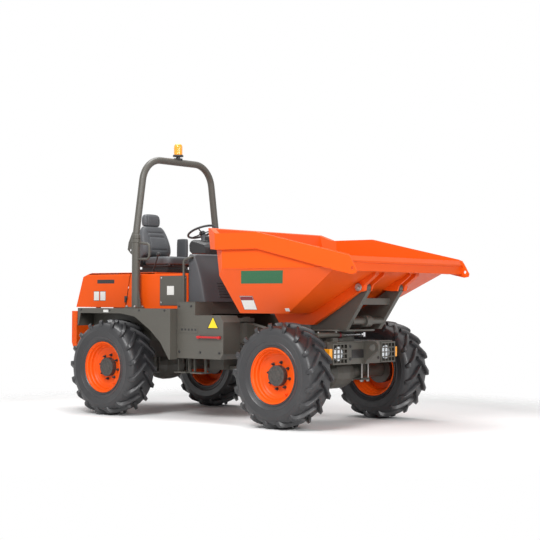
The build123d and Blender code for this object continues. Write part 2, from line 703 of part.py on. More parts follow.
# Lamp guards with square bars, the lamps and their indicators
def make_lamp_guards():
    x = guard_back + gap
    low = frame_low + 2
    guard = block(x, guard_front, lamp_y - lamp_half, lamp_y + lamp_half, low, lamp_top)
    guard -= block(x - 1, guard_front - 8, lamp_y - lamp_half + 6, lamp_y + lamp_half - 6, low + 6, lamp_top - 6)
    pitch = (2 * lamp_half - 20) / 4
    rise = (lamp_top - low - 20) / 4
    for col in range(4):
        for row in range(4):
            y = lamp_y - lamp_half + 10 + (col + 0.5) * pitch
            z = low + 10 + (row + 0.5) * rise
            guard -= block(x + 20, x + 90, y - pitch / 2 + 6, y + pitch / 2 - 6, z - rise / 2 + 6, z + rise / 2 - 6)
    return both_sides(guard)


def make_headlamps():
    x = guard_back + gap
    return both_sides(bar_x(x, x + 44, lamp_y - 5, 756, 78))


def make_indicators():
    lamp = block(guard_back - 10, guard_front - 10, lamp_y + lamp_half + gap, lamp_y + lamp_half + 48, 705, 810)
    return both_sides(lamp)


# A ram's barrel and rod along +X from the base pin at the origin
def make_ram(length, bore_end, barrel_r, rod_r, eye_r, eye_half, pin_r, stroke):
    barrel = Rot(90, 0, 0) * round_bar(eye_r, 2 * eye_half)
    barrel += bar_x(eye_r * 0.6, bore_end, 0, 0, barrel_r)
    barrel += bar_x(bore_end - 40, bore_end, 0, 0, barrel_r + 6)
    barrel -= bar_x(eye_r + 22, bore_end + 1, 0, 0, rod_r + pin_gap)
    barrel -= Rot(90, 0, 0) * round_bar(pin_r + pin_gap, 4 * eye_half)
    start = bore_end - stroke - 45
    rod = bar_x(start, length - eye_r * 0.6, 0, 0, rod_r) + Pos(length, 0, 0) * Rot(90, 0, 0) * round_bar(eye_r, 2 * eye_half)
    return barrel, rod


def make_tip_ram():
    dx = tip_eye[0] - tip_base[0]
    dz = tip_eye[1] - tip_base[1]
    place = Pos(tip_base[0], 0, tip_base[1]) * Rot(0, -degrees(atan2(dz, dx)), 0)
    barrel, rod = make_ram(hypot(dx, dz), 845, 48, 26, 44, 30, 18, 445)
    sleeve = Rot(90, 0, 0) * (round_bar(60, 100) - round_bar(35 + pin_gap, 120))
    barrel = barrel - Rot(90, 0, 0) * round_bar(50, 120) + sleeve
    return place * barrel, place * rod


def make_steer_ram():
    dx = steer_eye[0] - steer_base[0]
    dy = steer_eye[1] - steer_base[1]
    place = Pos(steer_base[0], steer_base[1], steer_ram_z) * Rot(0, 0, degrees(atan2(dy, dx))) * Rot(90, 0, 0)
    barrel, rod = make_ram(hypot(dx, dy), 490, 32, 18, 28, 24, 14, 187)
    return place * barrel, place * rod


def make_slew_ram():
    r = slew_ram_r
    z = ring_split
    barrel = bar_y(slew_ram_x, slew_mouth - 438, slew_mouth, z, r) + bar_y(slew_ram_x, slew_mouth - 40, slew_mouth, z, r + 3)
    barrel -= bar_y(slew_ram_x, slew_mouth - 420, slew_mouth + 1, z, 15 + pin_gap)
    rod = bar_y(slew_ram_x, slew_mouth - 218, slew_end - 30, z, 15)
    head = bar_y(slew_ram_x, slew_end - 40, slew_end, z, r) + block(slew_ram_x - 24, slew_ram_x + 24, slew_end - 8,
                                                                    slew_end + 26, z - 22, z + 22)
    return barrel, rod + head


# Wheels of both axles, numbered front and rear, right and left
def make_wheels():
    tyre = make_tyre()
    rim = make_rim()
    nodes = {}
    for end, x in (("front", half_base), ("rear", -half_base)):
        for side, s in (("right", -1), ("left", 1)):
            spot = Pos(x, s * wheel_y, tyre_r)
            nodes[f"tyre_{end}_{side}"] = spot * tyre
            nodes[f"rim_{end}_{side}"] = spot * (rim if s > 0 else Rot(0, 0, 180) * rim)
    return nodes


tip_barrel, tip_rod = make_tip_ram()
steer_barrel, steer_rod = make_steer_ram()
slew_barrel, slew_rod = make_slew_ram()
keel = make_skip_keel()

nodes = {
    "rear_frame": make_rear_frame(),
    "rear_axle": make_axle(-half_base, rail_low, 270, 50),
    "engine_block": make_engine(),
    "engine_cover": make_cover(),
    "rear_bumper": make_bumper(),
    "fenders": make_fenders(),
    "side_boxes": make_side_boxes(),
    "platform": make_platform(),
    "cowl": make_cowl(),
    "dash": make_dash(),
    "steering_wheel": make_steering(),
    "seat_base": make_seat_base(),
    "seat_cushion": make_seat_cushion(),
    "seat_backrest": make_seat_back(),
    "headrest": make_headrest(),
    "arm_pad": make_arm_pad(),
    "control_lever": make_lever(),
    "rops_posts": make_posts(),
    "rops_arch": make_arch(),
    "beacon_base": make_beacon_base(),
    "beacon_lens": make_beacon_lens(),
    "handrails": make_handrails(),
    "access_panel": make_access_panel(),
    "lock_bar": make_lock_bar(),
    "hood": make_hood(),
    "front_frame": make_front_frame(),
    "front_axle": make_axle(half_base, frame_low, spring_y, spring_half),
    "lamp_guards": make_lamp_guards(),
    "headlamps": make_headlamps(),
    "indicators": make_indicators(),
    "turntable": make_turntable(),
    "lift_arms": make_lift_arms(),
    "skip_shell": make_skip_shell(),
    "skip_keel": keel,
    "tip_barrel": tip_barrel,
    "tip_rod": tip_rod,
    "steer_barrel": steer_barrel,
    "steer_rod": steer_rod,
    "slew_barrel": slew_barrel,
    "slew_rod": slew_rod,
}
nodes.update(make_wheels())

origin_x = (ear_tip_x + bumper_rear) / 2
os.makedirs("parts", exist_ok=True)
for name, shape in nodes.items():
    export_step(Pos(-origin_x, 0, 0) * shape, f"parts/{name}.step")
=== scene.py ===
import json
import math

import bmesh
import bpy
from mathutils import Matrix, Vector


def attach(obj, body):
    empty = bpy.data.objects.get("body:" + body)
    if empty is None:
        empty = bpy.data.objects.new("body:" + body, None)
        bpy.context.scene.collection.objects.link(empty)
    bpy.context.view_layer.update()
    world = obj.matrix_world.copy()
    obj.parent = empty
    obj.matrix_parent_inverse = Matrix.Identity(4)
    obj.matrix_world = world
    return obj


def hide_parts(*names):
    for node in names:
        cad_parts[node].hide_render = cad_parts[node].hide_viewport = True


with open("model.json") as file:
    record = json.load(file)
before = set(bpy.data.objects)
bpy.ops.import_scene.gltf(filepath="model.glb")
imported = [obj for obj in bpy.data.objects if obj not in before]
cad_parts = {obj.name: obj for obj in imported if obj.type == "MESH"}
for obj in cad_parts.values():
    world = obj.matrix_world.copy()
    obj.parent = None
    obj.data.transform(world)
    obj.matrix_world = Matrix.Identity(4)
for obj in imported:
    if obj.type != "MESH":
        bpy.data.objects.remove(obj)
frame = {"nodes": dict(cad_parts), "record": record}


def keep_size():
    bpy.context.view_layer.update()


keep_size()


# The CAD measures X from the steering pivot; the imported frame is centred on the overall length
SHIFT = -0.0295
AXLES = {"front": 1.25 + SHIFT, "rear": -1.25 + SHIFT}
WHEEL_Y = 0.863
TYRE_R = 0.540
BODY_SIDE = 0.610
BOX_SIDE = 0.775
FENDER_SIDE = 0.880
PANEL_SIDE = 0.6165
RAIL_SIDE = 0.640
ARCH_X = -1.08
ARCH_SIDE = 0.680
ARCH_TOP = 2.930
ARCH_TUBE = 0.040
PROUD = 0.0002
nodes = frame["nodes"]


# Materials
class Paint:
    """Builds one node-based material step by step."""

    def __init__(self, name, colour, roughness, metallic=0.0):
        self.material = bpy.data.materials.new(name)
        self.material.use_nodes = True
        tree = self.material.node_tree
        self.node = tree.nodes.new
        self.link = tree.links.new
        self.shader = tree.nodes["Principled BSDF"]
        self.shader.inputs["Base Color"].default_value = (*colour, 1)
        self.shader.inputs["Roughness"].default_value = roughness
        self.shader.inputs["Metallic"].default_value = metallic
        self.coordinates = self.node("ShaderNodeTexCoord").outputs["Object"]
        self.colour_source = None
        self.bump_source = None

    def set(self, name, value):
        self.shader.inputs[name].default_value = value
        return self

    def noise(self, scale, detail=3.0, stretch=None):
        node = self.node("ShaderNodeTexNoise")
        node.inputs["Scale"].default_value = scale
        node.inputs["Detail"].default_value = detail
        source = self.coordinates
        if stretch:
            mapping = self.node("ShaderNodeMapping")
            mapping.inputs["Scale"].default_value = stretch
            self.link(source, mapping.inputs["Vector"])
            source = mapping.outputs["Vector"]
        self.link(source, node.inputs["Vector"])
        return node.outputs["Fac"]

    def wave(self, bands, scale):
        node = self.node("ShaderNodeTexWave")
        node.bands_direction = bands
        node.inputs["Scale"].default_value = scale
        self.link(self.coordinates, node.inputs["Vector"])
        return node.outputs["Fac"]

    def ramp(self, source, low, high):
        node = self.node("ShaderNodeMapRange")
        node.inputs["From Min"].default_value = low
        node.inputs["From Max"].default_value = high
        self.link(source, node.inputs["Value"])
        return node.outputs["Result"]

    def times(self, a, b):
        node = self.node("ShaderNodeMath")
        node.operation = "MULTIPLY"
        for index, value in enumerate((a, b)):
            if isinstance(value, float):
                node.inputs[index].default_value = value
            else:
                self.link(value, node.inputs[index])
        return node.outputs[0]

    def tint(self, source, colour):
        mix = self.node("ShaderNodeMix")
        mix.data_type = "RGBA"
        if self.colour_source is None:
            mix.inputs[6].default_value = self.shader.inputs["Base Color"].default_value
        else:
            self.link(self.colour_source, mix.inputs[6])
        mix.inputs[7].default_value = (*colour, 1)
        self.link(source, mix.inputs[0])
        self.colour_source = mix.outputs[2]
        self.link(self.colour_source, self.shader.inputs["Base Color"])
        return self

    def rough(self, source, low, high):
        node = self.node("ShaderNodeMapRange")
        node.inputs["To Min"].default_value = low
        node.inputs["To Max"].default_value = high
        self.link(source, node.inputs["Value"])
        self.link(node.outputs["Result"], self.shader.inputs["Roughness"])
        return self

    def soften(self, radius):
        """Edges catch the light as if slightly rounded."""
        node = self.node("ShaderNodeBevel")
        node.samples = 6
        node.inputs["Radius"].default_value = radius
        self.bump_source = node.outputs["Normal"]
        return self

    def bump(self, source, strength, distance):
        node = self.node("ShaderNodeBump")
        node.inputs["Strength"].default_value = strength
        node.inputs["Distance"].default_value = distance
        self.link(source, node.inputs["Height"])
        if self.bump_source is not None:
            self.link(self.bump_source, node.inputs["Normal"])
        self.bump_source = node.outputs["Normal"]
        self.link(self.bump_source, self.shader.inputs["Normal"])
        return self


def orange_paint():
    paint = Paint("orange_paint", (0.86, 0.100, 0.005), 0.34)
    paint.soften(0.004)
    paint.set("Coat Weight", 0.06).set("Coat Roughness", 0.30).set("Specular IOR Level", 0.22)
    paint.tint(paint.times(paint.ramp(paint.noise(1.7, 4.0), 0.35, 0.75), 0.30), (0.80, 0.085, 0.004))
    paint.tint(paint.times(paint.ramp(paint.noise(38.0, 6.0), 0.60, 0.80), 0.10), (0.55, 0.10, 0.02))
    paint.rough(paint.noise(5.0, 5.0), 0.34, 0.50)
    paint.bump(paint.noise(420.0, 2.0), 0.10, 0.0005)
    return paint.material


def dark_paint():
    paint = Paint("dark_paint", (0.088, 0.083, 0.070), 0.42)
    paint.soften(0.004)
    paint.tint(paint.times(paint.ramp(paint.noise(2.3, 4.0), 0.35, 0.75), 0.45), (0.070, 0.066, 0.058))
    paint.tint(paint.times(paint.ramp(paint.noise(60.0, 6.0), 0.58, 0.80), 0.20), (0.14, 0.13, 0.11))
    paint.rough(paint.noise(7.0, 5.0), 0.34, 0.56)
    paint.bump(paint.noise(520.0, 2.0), 0.15, 0.0005)
    return paint.material


def black_steel():
    paint = Paint("black_steel", (0.022, 0.022, 0.023), 0.45)
    paint.soften(0.004)
    paint.tint(paint.times(paint.ramp(paint.noise(30.0, 5.0), 0.5, 0.8), 0.5), (0.05, 0.048, 0.045))
    paint.rough(paint.noise(12.0, 4.0), 0.35, 0.6)
    paint.bump(paint.noise(300.0, 3.0), 0.2, 0.0008)
    return paint.material


def engine_iron():
    paint = Paint("engine_iron", (0.10, 0.10, 0.10), 0.7, 0.2)
    paint.tint(paint.ramp(paint.noise(22.0, 6.0), 0.4, 0.8), (0.05, 0.045, 0.04))
    paint.bump(paint.noise(160.0, 4.0), 0.4, 0.001)
    return paint.material


def grey_plastic():
    paint = Paint("grey_plastic", (0.064, 0.064, 0.070), 0.46)
    paint.soften(0.004)
    paint.tint(paint.times(paint.ramp(paint.noise(3.0, 3.0), 0.35, 0.7), 0.5), (0.050, 0.050, 0.055))
    paint.rough(paint.noise(9.0, 4.0), 0.38, 0.55)
    paint.bump(paint.noise(900.0, 2.0), 0.35, 0.0006)
    return paint.material


def black_plastic():
    paint = Paint("black_plastic", (0.018, 0.018, 0.020), 0.42)
    paint.soften(0.004)
    paint.tint(paint.times(paint.noise(18.0, 3.0), 0.4), (0.035, 0.034, 0.034))
    paint.bump(paint.noise(1100.0, 2.0), 0.35, 0.0005)
    return paint.material


def seat_vinyl():
    paint = Paint("seat_vinyl", (0.085, 0.089, 0.096), 0.48)
    paint.tint(paint.times(paint.ramp(paint.noise(6.0, 4.0), 0.35, 0.75), 0.5), (0.062, 0.065, 0.071))
    cells = paint.node("ShaderNodeTexVoronoi")
    cells.inputs["Scale"].default_value = 620.0
    paint.link(paint.coordinates, cells.inputs["Vector"])
    paint.bump(cells.outputs["Distance"], 0.35, 0.0008)
    paint.bump(paint.noise(40.0, 4.0), 0.25, 0.002)
    paint.rough(paint.noise(14.0, 4.0), 0.42, 0.62)
    return paint.material


def tyre_rubber():
    paint = Paint("tyre_rubber", (0.019, 0.019, 0.021), 0.42)
    paint.set("Specular IOR Level", 0.62)
    paint.tint(paint.times(paint.ramp(paint.noise(9.0, 5.0), 0.45, 0.80), 0.45), (0.042, 0.042, 0.044))
    paint.tint(paint.times(paint.ramp(paint.noise(70.0, 5.0), 0.55, 0.80), 0.35), (0.010, 0.010, 0.011))
    paint.rough(paint.noise(16.0, 5.0), 0.24, 0.56)
    paint.bump(paint.noise(330.0, 4.0), 0.25, 0.0010)
    return paint.material


def rod_chrome():
    paint = Paint("rod_chrome", (0.72, 0.72, 0.74), 0.12, 1.0)
    paint.rough(paint.noise(30.0, 3.0, (0.2, 1, 1)), 0.08, 0.22)
    return paint.material


def bare_steel():
    paint = Paint("bare_steel", (0.42, 0.41, 0.40), 0.34, 1.0)
    paint.tint(paint.times(paint.ramp(paint.noise(60.0, 5.0), 0.45, 0.75), 0.6), (0.25, 0.22, 0.19))
    paint.rough(paint.noise(45.0, 4.0), 0.25, 0.5)
    return paint.material


def hub_paint():
    paint = Paint("hub_iron", (0.040, 0.038, 0.035), 0.5)
    paint.soften(0.003)
    paint.tint(paint.times(paint.ramp(paint.noise(48.0, 6.0), 0.42, 0.72), 0.7), (0.085, 0.078, 0.068))
    paint.rough(paint.noise(20.0, 4.0), 0.38, 0.62)
    paint.bump(paint.noise(260.0, 4.0), 0.35, 0.0012)
    return paint.material


def amber_lens():
    paint = Paint("amber_lens", (0.93, 0.36, 0.010), 0.14)
    paint.set("Transmission Weight", 0.10).set("Coat Weight", 0.6)
    paint.set("Emission Color", (1.0, 0.45, 0.02, 1)).set("Emission Strength", 0.15)
    ribs = paint.wave("Z", 34.0)
    paint.tint(paint.times(ribs, 0.20), (0.95, 0.52, 0.02))
    paint.bump(ribs, 0.25, 0.001)
    return paint.material


def lamp_glass():
    paint = Paint("lamp_glass", (0.88, 0.90, 0.92), 0.06)
    paint.set("Transmission Weight", 0.25).set("Coat Weight", 0.8)
    paint.set("Emission Color", (0.9, 0.95, 1.0, 1)).set("Emission Strength", 0.22)
    paint.bump(paint.wave("Y", 30.0), 0.4, 0.002)
    return paint.material


def red_paint():
    paint = Paint("red_paint", (0.52, 0.012, 0.016), 0.35)
    paint.tint(paint.times(paint.noise(30.0, 4.0), 0.5), (0.36, 0.012, 0.014))
    paint.bump(paint.noise(500.0, 2.0), 0.2, 0.0005)
    return paint.material


def sign_paint(name, colour):
    paint = Paint(name, colour, 0.35)
    worn = tuple(0.82 * c + 0.03 for c in colour)
    paint.tint(paint.times(paint.ramp(paint.noise(55.0, 5.0), 0.5, 0.8), 0.5), worn)
    paint.rough(paint.noise(24.0, 4.0), 0.28, 0.48)
    return paint.material


slot_material = {
    "orange_paint": orange_paint(),
    "dark_paint": dark_paint(),
    "black_steel": black_steel(),
    "engine_iron": engine_iron(),
    "grey_plastic": grey_plastic(),
    "black_plastic": black_plastic(),
    "seat_vinyl": seat_vinyl(),
    "tyre_rubber": tyre_rubber(),
    "rod_chrome": rod_chrome(),
    "amber_lens": amber_lens(),
    "lamp_glass": lamp_glass(),
    "red_paint": red_paint(),
}
steel = bare_steel()
hub_iron = hub_paint()
white_sign = sign_paint("white_sign", (0.80, 0.79, 0.76))
green_sign = sign_paint("green_sign", (0.003, 0.125, 0.040))
yellow_sign = sign_paint("yellow_sign", (0.86, 0.66, 0.02))
black_sign = sign_paint("black_sign", (0.018, 0.016, 0.016))
red_sign = sign_paint("red_sign", (0.20, 0.008, 0.016))

for part in frame["record"]["subparts"]:
    mesh = nodes[part["node"]].data
    mesh.materials.clear()
    mesh.materials.append(slot_material[part["material_slot"]])


# Mesh helpers
def placed(name, data):
    made = bpy.data.objects.new(name, data)
    bpy.context.scene.collection.objects.link(made)
    return made


def piece(name, bm, body, material, bevel=0.0, angle=32):
    """One finished mesh piece that rides on a body."""
    bmesh.ops.recalc_face_normals(bm, faces=bm.faces)
    mesh = bpy.data.meshes.new(name)
    bm.to_mesh(mesh)
    bm.free()
    mesh.materials.append(material)
    mesh.polygons.foreach_set("use_smooth", [True] * len(mesh.polygons))
    mesh.set_sharp_from_angle(angle=math.radians(angle))
    made = placed(name, mesh)
    if bevel:
        rounding = made.modifiers.new("bevel", "BEVEL")
        rounding.width = bevel
        rounding.segments = 2
        rounding.limit_method = "ANGLE"
        rounding.harden_normals = False
    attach(made, body)
    return made


def slotted(name, bm, body, slot, bevel=0.0, angle=32):
    """A piece in the finish of its own slot."""
    return piece(name, bm, body, slot_material[slot], bevel, angle)


def add_block(bm, low, high):
    spots = [(x, y, z) for x in (low[0], high[0]) for y in (low[1], high[1]) for z in (low[2], high[2])]
    corners = [bm.verts.new(spot) for spot in spots]
    for quad in ((0, 1, 3, 2), (4, 6, 7, 5), (0, 4, 5, 1), (2, 3, 7, 6), (0, 2, 6, 4), (1, 5, 7, 3)):
        bm.faces.new([corners[i] for i in quad])


def add_prism(bm, outline, offset):
    """A closed prism from a planar outline, pushed along the offset."""
    near = [bm.verts.new(p) for p in outline]
    far = [bm.verts.new(Vector(p) + Vector(offset)) for p in outline]
    bm.faces.new(near)
    bm.faces.new(far[::-1])
    count = len(outline)
    for i in range(count):
        j = (i + 1) % count
        bm.faces.new((near[i], far[i], far[j], near[j]))


def join_rings(bm, rings):
    """Closed bands of quads between neighbouring rings."""
    for a, b in zip(rings, rings[1:]):
        for i in range(len(a)):
            j = (i + 1) % len(a)
            bm.faces.new((a[i], a[j], b[j], b[i]))


def cap_rings(bm, rings):
    bm.faces.new(rings[0][::-1])
    bm.faces.new(rings[-1])


def frame_of(axis):
    axis = Vector(axis).normalized()
    side = axis.cross(Vector((0, 0, 1)) if abs(axis.z) < 0.9 else Vector((1, 0, 0))).normalized()
    return axis, side, axis.cross(side)


def add_turned(bm, origin, axis, stations, sides=24):
    """A closed body turned about an axis, from (distance along, radius) stations."""
    axis, u, v = frame_of(axis)
    origin = Vector(origin)
    rings = []
    for along, radius in stations:
        ring = []
        for i in range(sides):
            a = 2 * math.pi * i / sides
            ring.append(bm.verts.new(origin + axis * along + (u * math.cos(a) + v * math.sin(a)) * radius))
        rings.append(ring)
    join_rings(bm, rings)
    cap_rings(bm, rings)


def add_bolt(bm, spot, axis, across=0.019, height=0.008, washer=True):
    """A hexagon head on a washer, seated on a surface."""
    if washer:
        rim = across * 0.75
        add_turned(bm, spot, axis, [(-0.001, rim), (0.002, rim), (0.0028, across * 0.68)], 20)
    base = 0.0028 if washer else 0.0
    r = across / math.sqrt(3)
    add_turned(bm, spot, axis, [(base - 0.001, r), (base + height * 0.8, r), (base + height, r * 0.82)], 6)


def add_tube(bm, path, radius, sides=14):
    """A round tube through a smooth path."""
    points = [Vector(p) for p in path]
    tangent = (points[1] - points[0]).normalized()
    normal = tangent.cross(Vector((0, 0, 1)) if abs(tangent.z) < 0.9 else Vector((1, 0, 0))).normalized()
    rings = []
    for i, p in enumerate(points):
        a = points[max(i - 1, 0)]
        b = points[min(i + 1, len(points) - 1)]
        t = (b - a).normalized()
        normal = (normal - t * normal.dot(t)).normalized()
        other = t.cross(normal)
        rings.append([bm.verts.new(p + (normal * math.cos(q) + other * math.sin(q)) * radius)
                      for q in (2 * math.pi * k / sides for k in range(sides))])
    join_rings(bm, rings)
    cap_rings(bm, rings)


def curved(points, steps=8):
    """A smooth path through a few points."""
    pts = [Vector(p) for p in points]
    pts = [2 * pts[0] - pts[1]] + pts + [2 * pts[-1] - pts[-2]]
    path = []
    for i in range(1, len(pts) - 2):
        for k in range(steps):
            t = k / steps
            a, b, c, d = pts[i - 1:i + 3]
            path.append(0.5 * ((2 * b) + (c - a) * t + (2 * a - 5 * b + 4 * c - d) * t * t
                               + (3 * b - a - 3 * c + d) * t ** 3))
    path.append(pts[-2])
    return path


def at(x, y, z):
    """A point given from the steering pivot."""
    return Vector((x + SHIFT, y, z))


UP = (0, 0, 1)


# Tyres with chevron lugs and moulded sidewalls
LUGS = 17
SIDEWALL = [(0.289, 0.150), (0.289, 0.166), (0.297, 0.174), (0.306, 0.176), (0.309, 0.172), (0.320, 0.178),
            (0.340, 0.186), (0.345, 0.190), (0.350, 0.187), (0.380, 0.194), (0.410, 0.1975), (0.416, 0.1995),
            (0.422, 0.1970), (0.445, 0.194), (0.470, 0.184), (0.487, 0.168), (0.496, 0.145), (0.501, 0.100),
            (0.503, 0.050), (0.503, 0.0)]


def tyre_mesh(name, centre, body, node):
    bm = bmesh.new()
    segments = 120
    profile = SIDEWALL + [(r, -y) for r, y in reversed(SIDEWALL[:-1])]
    rings = []
    for r, y in profile:
        ring = []
        for i in range(segments):
            a = 2 * math.pi * i / segments
            ring.append(bm.verts.new((r * math.sin(a), y, r * math.cos(a))))
        rings.append(ring)
    rings.append(rings[0])
    join_rings(bm, rings)
    for side in (1, -1):
        for index in range(LUGS):
            turn = 2 * math.pi * (index + (0.5 if side < 0 else 0.0)) / LUGS
            add_lug(bm, side, turn)
    made = slotted(name, bm, body, "tyre_rubber", angle=30)
    made.location = centre
    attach(made, body)
    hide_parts(node)


def add_lug(bm, side, turn):
    """One tread bar: (across, along the tread, top radius, foot radius, half widths)."""
    stations = [(-0.012, -0.100, 0.534, 0.500, 0.012, 0.020),
                (0.000, -0.092, 0.5385, 0.500, 0.017, 0.026),
                (0.030, -0.066, 0.5395, 0.500, 0.018, 0.028),
                (0.070, -0.024, 0.5385, 0.499, 0.019, 0.030),
                (0.110, 0.018, 0.5365, 0.497, 0.021, 0.032),
                (0.145, 0.050, 0.5330, 0.492, 0.023, 0.034),
                (0.172, 0.070, 0.5270, 0.478, 0.024, 0.036),
                (0.188, 0.079, 0.5130, 0.466, 0.023, 0.035),
                (0.1955, 0.083, 0.4930, 0.452, 0.020, 0.031),
                (0.1970, 0.085, 0.4700, 0.444, 0.014, 0.024)]
    rings = []
    for across, along, top, foot, narrow, wide in stations:
        ring = []
        sink = 0.012 if across < 0.18 else 0.020
        chamfer = 0.004
        corners = ((-wide, foot, sink), (-narrow, top - chamfer, 0), (-narrow + chamfer, top, 0),
                   (narrow - chamfer, top, 0), (narrow, top - chamfer, 0), (wide, foot, sink))
        for offset, radius, inward in corners:
            a = turn + (along + offset) / 0.52
            y = side * (across - (inward if across > 0.16 else 0))
            ring.append(bm.verts.new((radius * math.sin(a), y, radius * math.cos(a))))
        rings.append(ring)
    for a, b in zip(rings, rings[1:]):
        for i in range(5):
            bm.faces.new((a[i], a[i + 1], b[i + 1], b[i]))
    bm.faces.new(rings[0])
    bm.faces.new(rings[-1])


# Rims: outside profile, dished disc, hub cap, nuts and valve
RIM_LIP = [(0.168, 0.2760), (0.168, 0.2860), (0.164, 0.2870), (0.156, 0.2870), (0.151, 0.2800),
           (0.148, 0.2700), (0.120, 0.2660), (0.112, 0.2560), (0.070, 0.2480), (0.060, 0.2370)]
RIM = RIM_LIP + [(-y, r) for y, r in reversed(RIM_LIP)]


def add_lathe(bm, profile, sides, flip=1):
    rings = []
    for y, r in profile:
        rings.append([bm.verts.new((r * math.sin(a), flip * y, r * math.cos(a)))
                      for a in (2 * math.pi * i / sides for i in range(sides))])
    rings.append(rings[0])
    join_rings(bm, rings)


def wheel_set(end, side):
    flip = 1 if side == "left" else -1
    centre = Vector((AXLES[end], flip * WHEEL_Y, TYRE_R))
    body = f"wheel_{end}_{side}"
    name = f"{end}_{side}"
    tyre_mesh(f"tyre_detail_{name}", centre, body, f"tyre_{name}")

    bm = bmesh.new()
    step = [(0.160, 0.2760), (0.146, 0.2640), (0.118, 0.2590), (0.108, 0.2490), (0.080, 0.2440),
            (0.066, 0.2300)]
    inner = step + [(0.066, 0.2190), (0.060, 0.2130), (0.051, 0.1950), (0.051, 0.0900), (0.035, 0.0900),
                    (0.035, 0.2270), (-0.060, 0.2290), (-0.070, 0.2400), (-0.112, 0.2480), (-0.120, 0.2580),
                    (-0.148, 0.2620), (-0.162, 0.2740)]
    add_lathe(bm, list(reversed(RIM)) + inner, 96, flip)
    valve = (0.215 * math.sin(2.6), flip * 0.07, 0.215 * math.cos(2.6))
    stem = [(-0.02, 0.009), (0.012, 0.009), (0.014, 0.006), (0.036, 0.006), (0.038, 0.005)]
    add_turned(bm, valve, (0, flip, 0), stem, 14)
    rim = slotted(f"rim_detail_{name}", bm, body, "orange_paint", angle=28)
    rim.location = centre
    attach(rim, body)

    bm = bmesh.new()
    hub = [(-0.02, 0.1060), (0.103, 0.1060), (0.109, 0.1030), (0.111, 0.0980), (0.111, 0.0840),
           (0.108, 0.0820), (0.108, 0.0600), (0.111, 0.0580), (0.111, 0.0001)]
    add_turned(bm, (0, 0, 0), (0, flip, 0), hub, 64)
    for i in range(8):
        a = 2 * math.pi * (i + 0.5) / 8
        spot = (0.0715 * math.sin(a), flip * 0.108, 0.0715 * math.cos(a))
        add_bolt(bm, spot, (0, flip, 0), 0.011, 0.003, washer=False)
    hub = piece(f"hub_{name}", bm, body, hub_iron, angle=28)
    hub.location = centre
    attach(hub, body)

    bm = bmesh.new()
    for i in range(8):
        a = 2 * math.pi * (i + 0.25) / 8
        spot = Vector((0.1375 * math.sin(a), flip * 0.051, 0.1375 * math.cos(a)))
        add_turned(bm, spot, (0, flip, 0), [(-0.002, 0.017), (0.003, 0.017), (0.006, 0.014)], 20)
        add_turned(bm, spot, (0, flip, 0), [(0.003, 0.0128), (0.020, 0.0128), (0.023, 0.0105)], 6)
        add_turned(bm, spot, (0, flip, 0), [(0.018, 0.0078), (0.034, 0.0078), (0.036, 0.0062)], 14)
    nuts = slotted(f"wheel_nuts_{name}", bm, body, "black_steel", angle=28)
    nuts.location = centre
    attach(nuts, body)
    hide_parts(f"rim_{name}")


for end in AXLES:
    for side in ("left", "right"):
        wheel_set(end, side)


PUFF_FRAMES = 14
SEAM_DEPTH = 0.010


# Soft pieces: closed forms from rounded cross-sections, puffed by cloth pressure between pinned seams
def cross_section(centre_x, centre_y, half_x, half_y, z, count, power):
    ring = []
    for i in range(count):
        a = 2 * math.pi * i / count
        c, s = math.cos(a), math.sin(a)
        ring.append(at(centre_x + half_x * math.copysign(abs(c) ** (2 / power), c),
                       centre_y + half_y * math.copysign(abs(s) ** (2 / power), s), z))
    return ring


def puff(pad, seam, pressure):
    """Cloth pressure rounds the panels while seams and hidden faces stay where they are."""
    held = pad.vertex_groups.new(name="held")
    held.add([v.index for v in pad.data.vertices if seam(v.co.x - SHIFT, v.co.y, v.co.z)], 1.0, "REPLACE")
    cloth = pad.modifiers.new("cloth", "CLOTH")
    settings = (("quality", 6), ("mass", 0.25), ("tension_stiffness", 60), ("compression_stiffness", 60),
                ("shear_stiffness", 30), ("bending_stiffness", 3), ("use_pressure", True),
                ("uniform_pressure_force", pressure), ("vertex_group_mass", "held"), ("pin_stiffness", 8))
    for setting, value in settings:
        setattr(cloth.settings, setting, value)
    cloth.settings.effector_weights.gravity = 0.0
    cloth.point_cache.frame_start = 1
    cloth.point_cache.frame_end = PUFF_FRAMES
    for step in range(1, PUFF_FRAMES + 1):
        bpy.context.scene.frame_set(step)
    graph = bpy.context.evaluated_depsgraph_get()
    puffed = bpy.data.meshes.new_from_object(pad.evaluated_get(graph))
    pad.modifiers.remove(cloth)
    pad.data = puffed
    bpy.context.scene.frame_set(1)


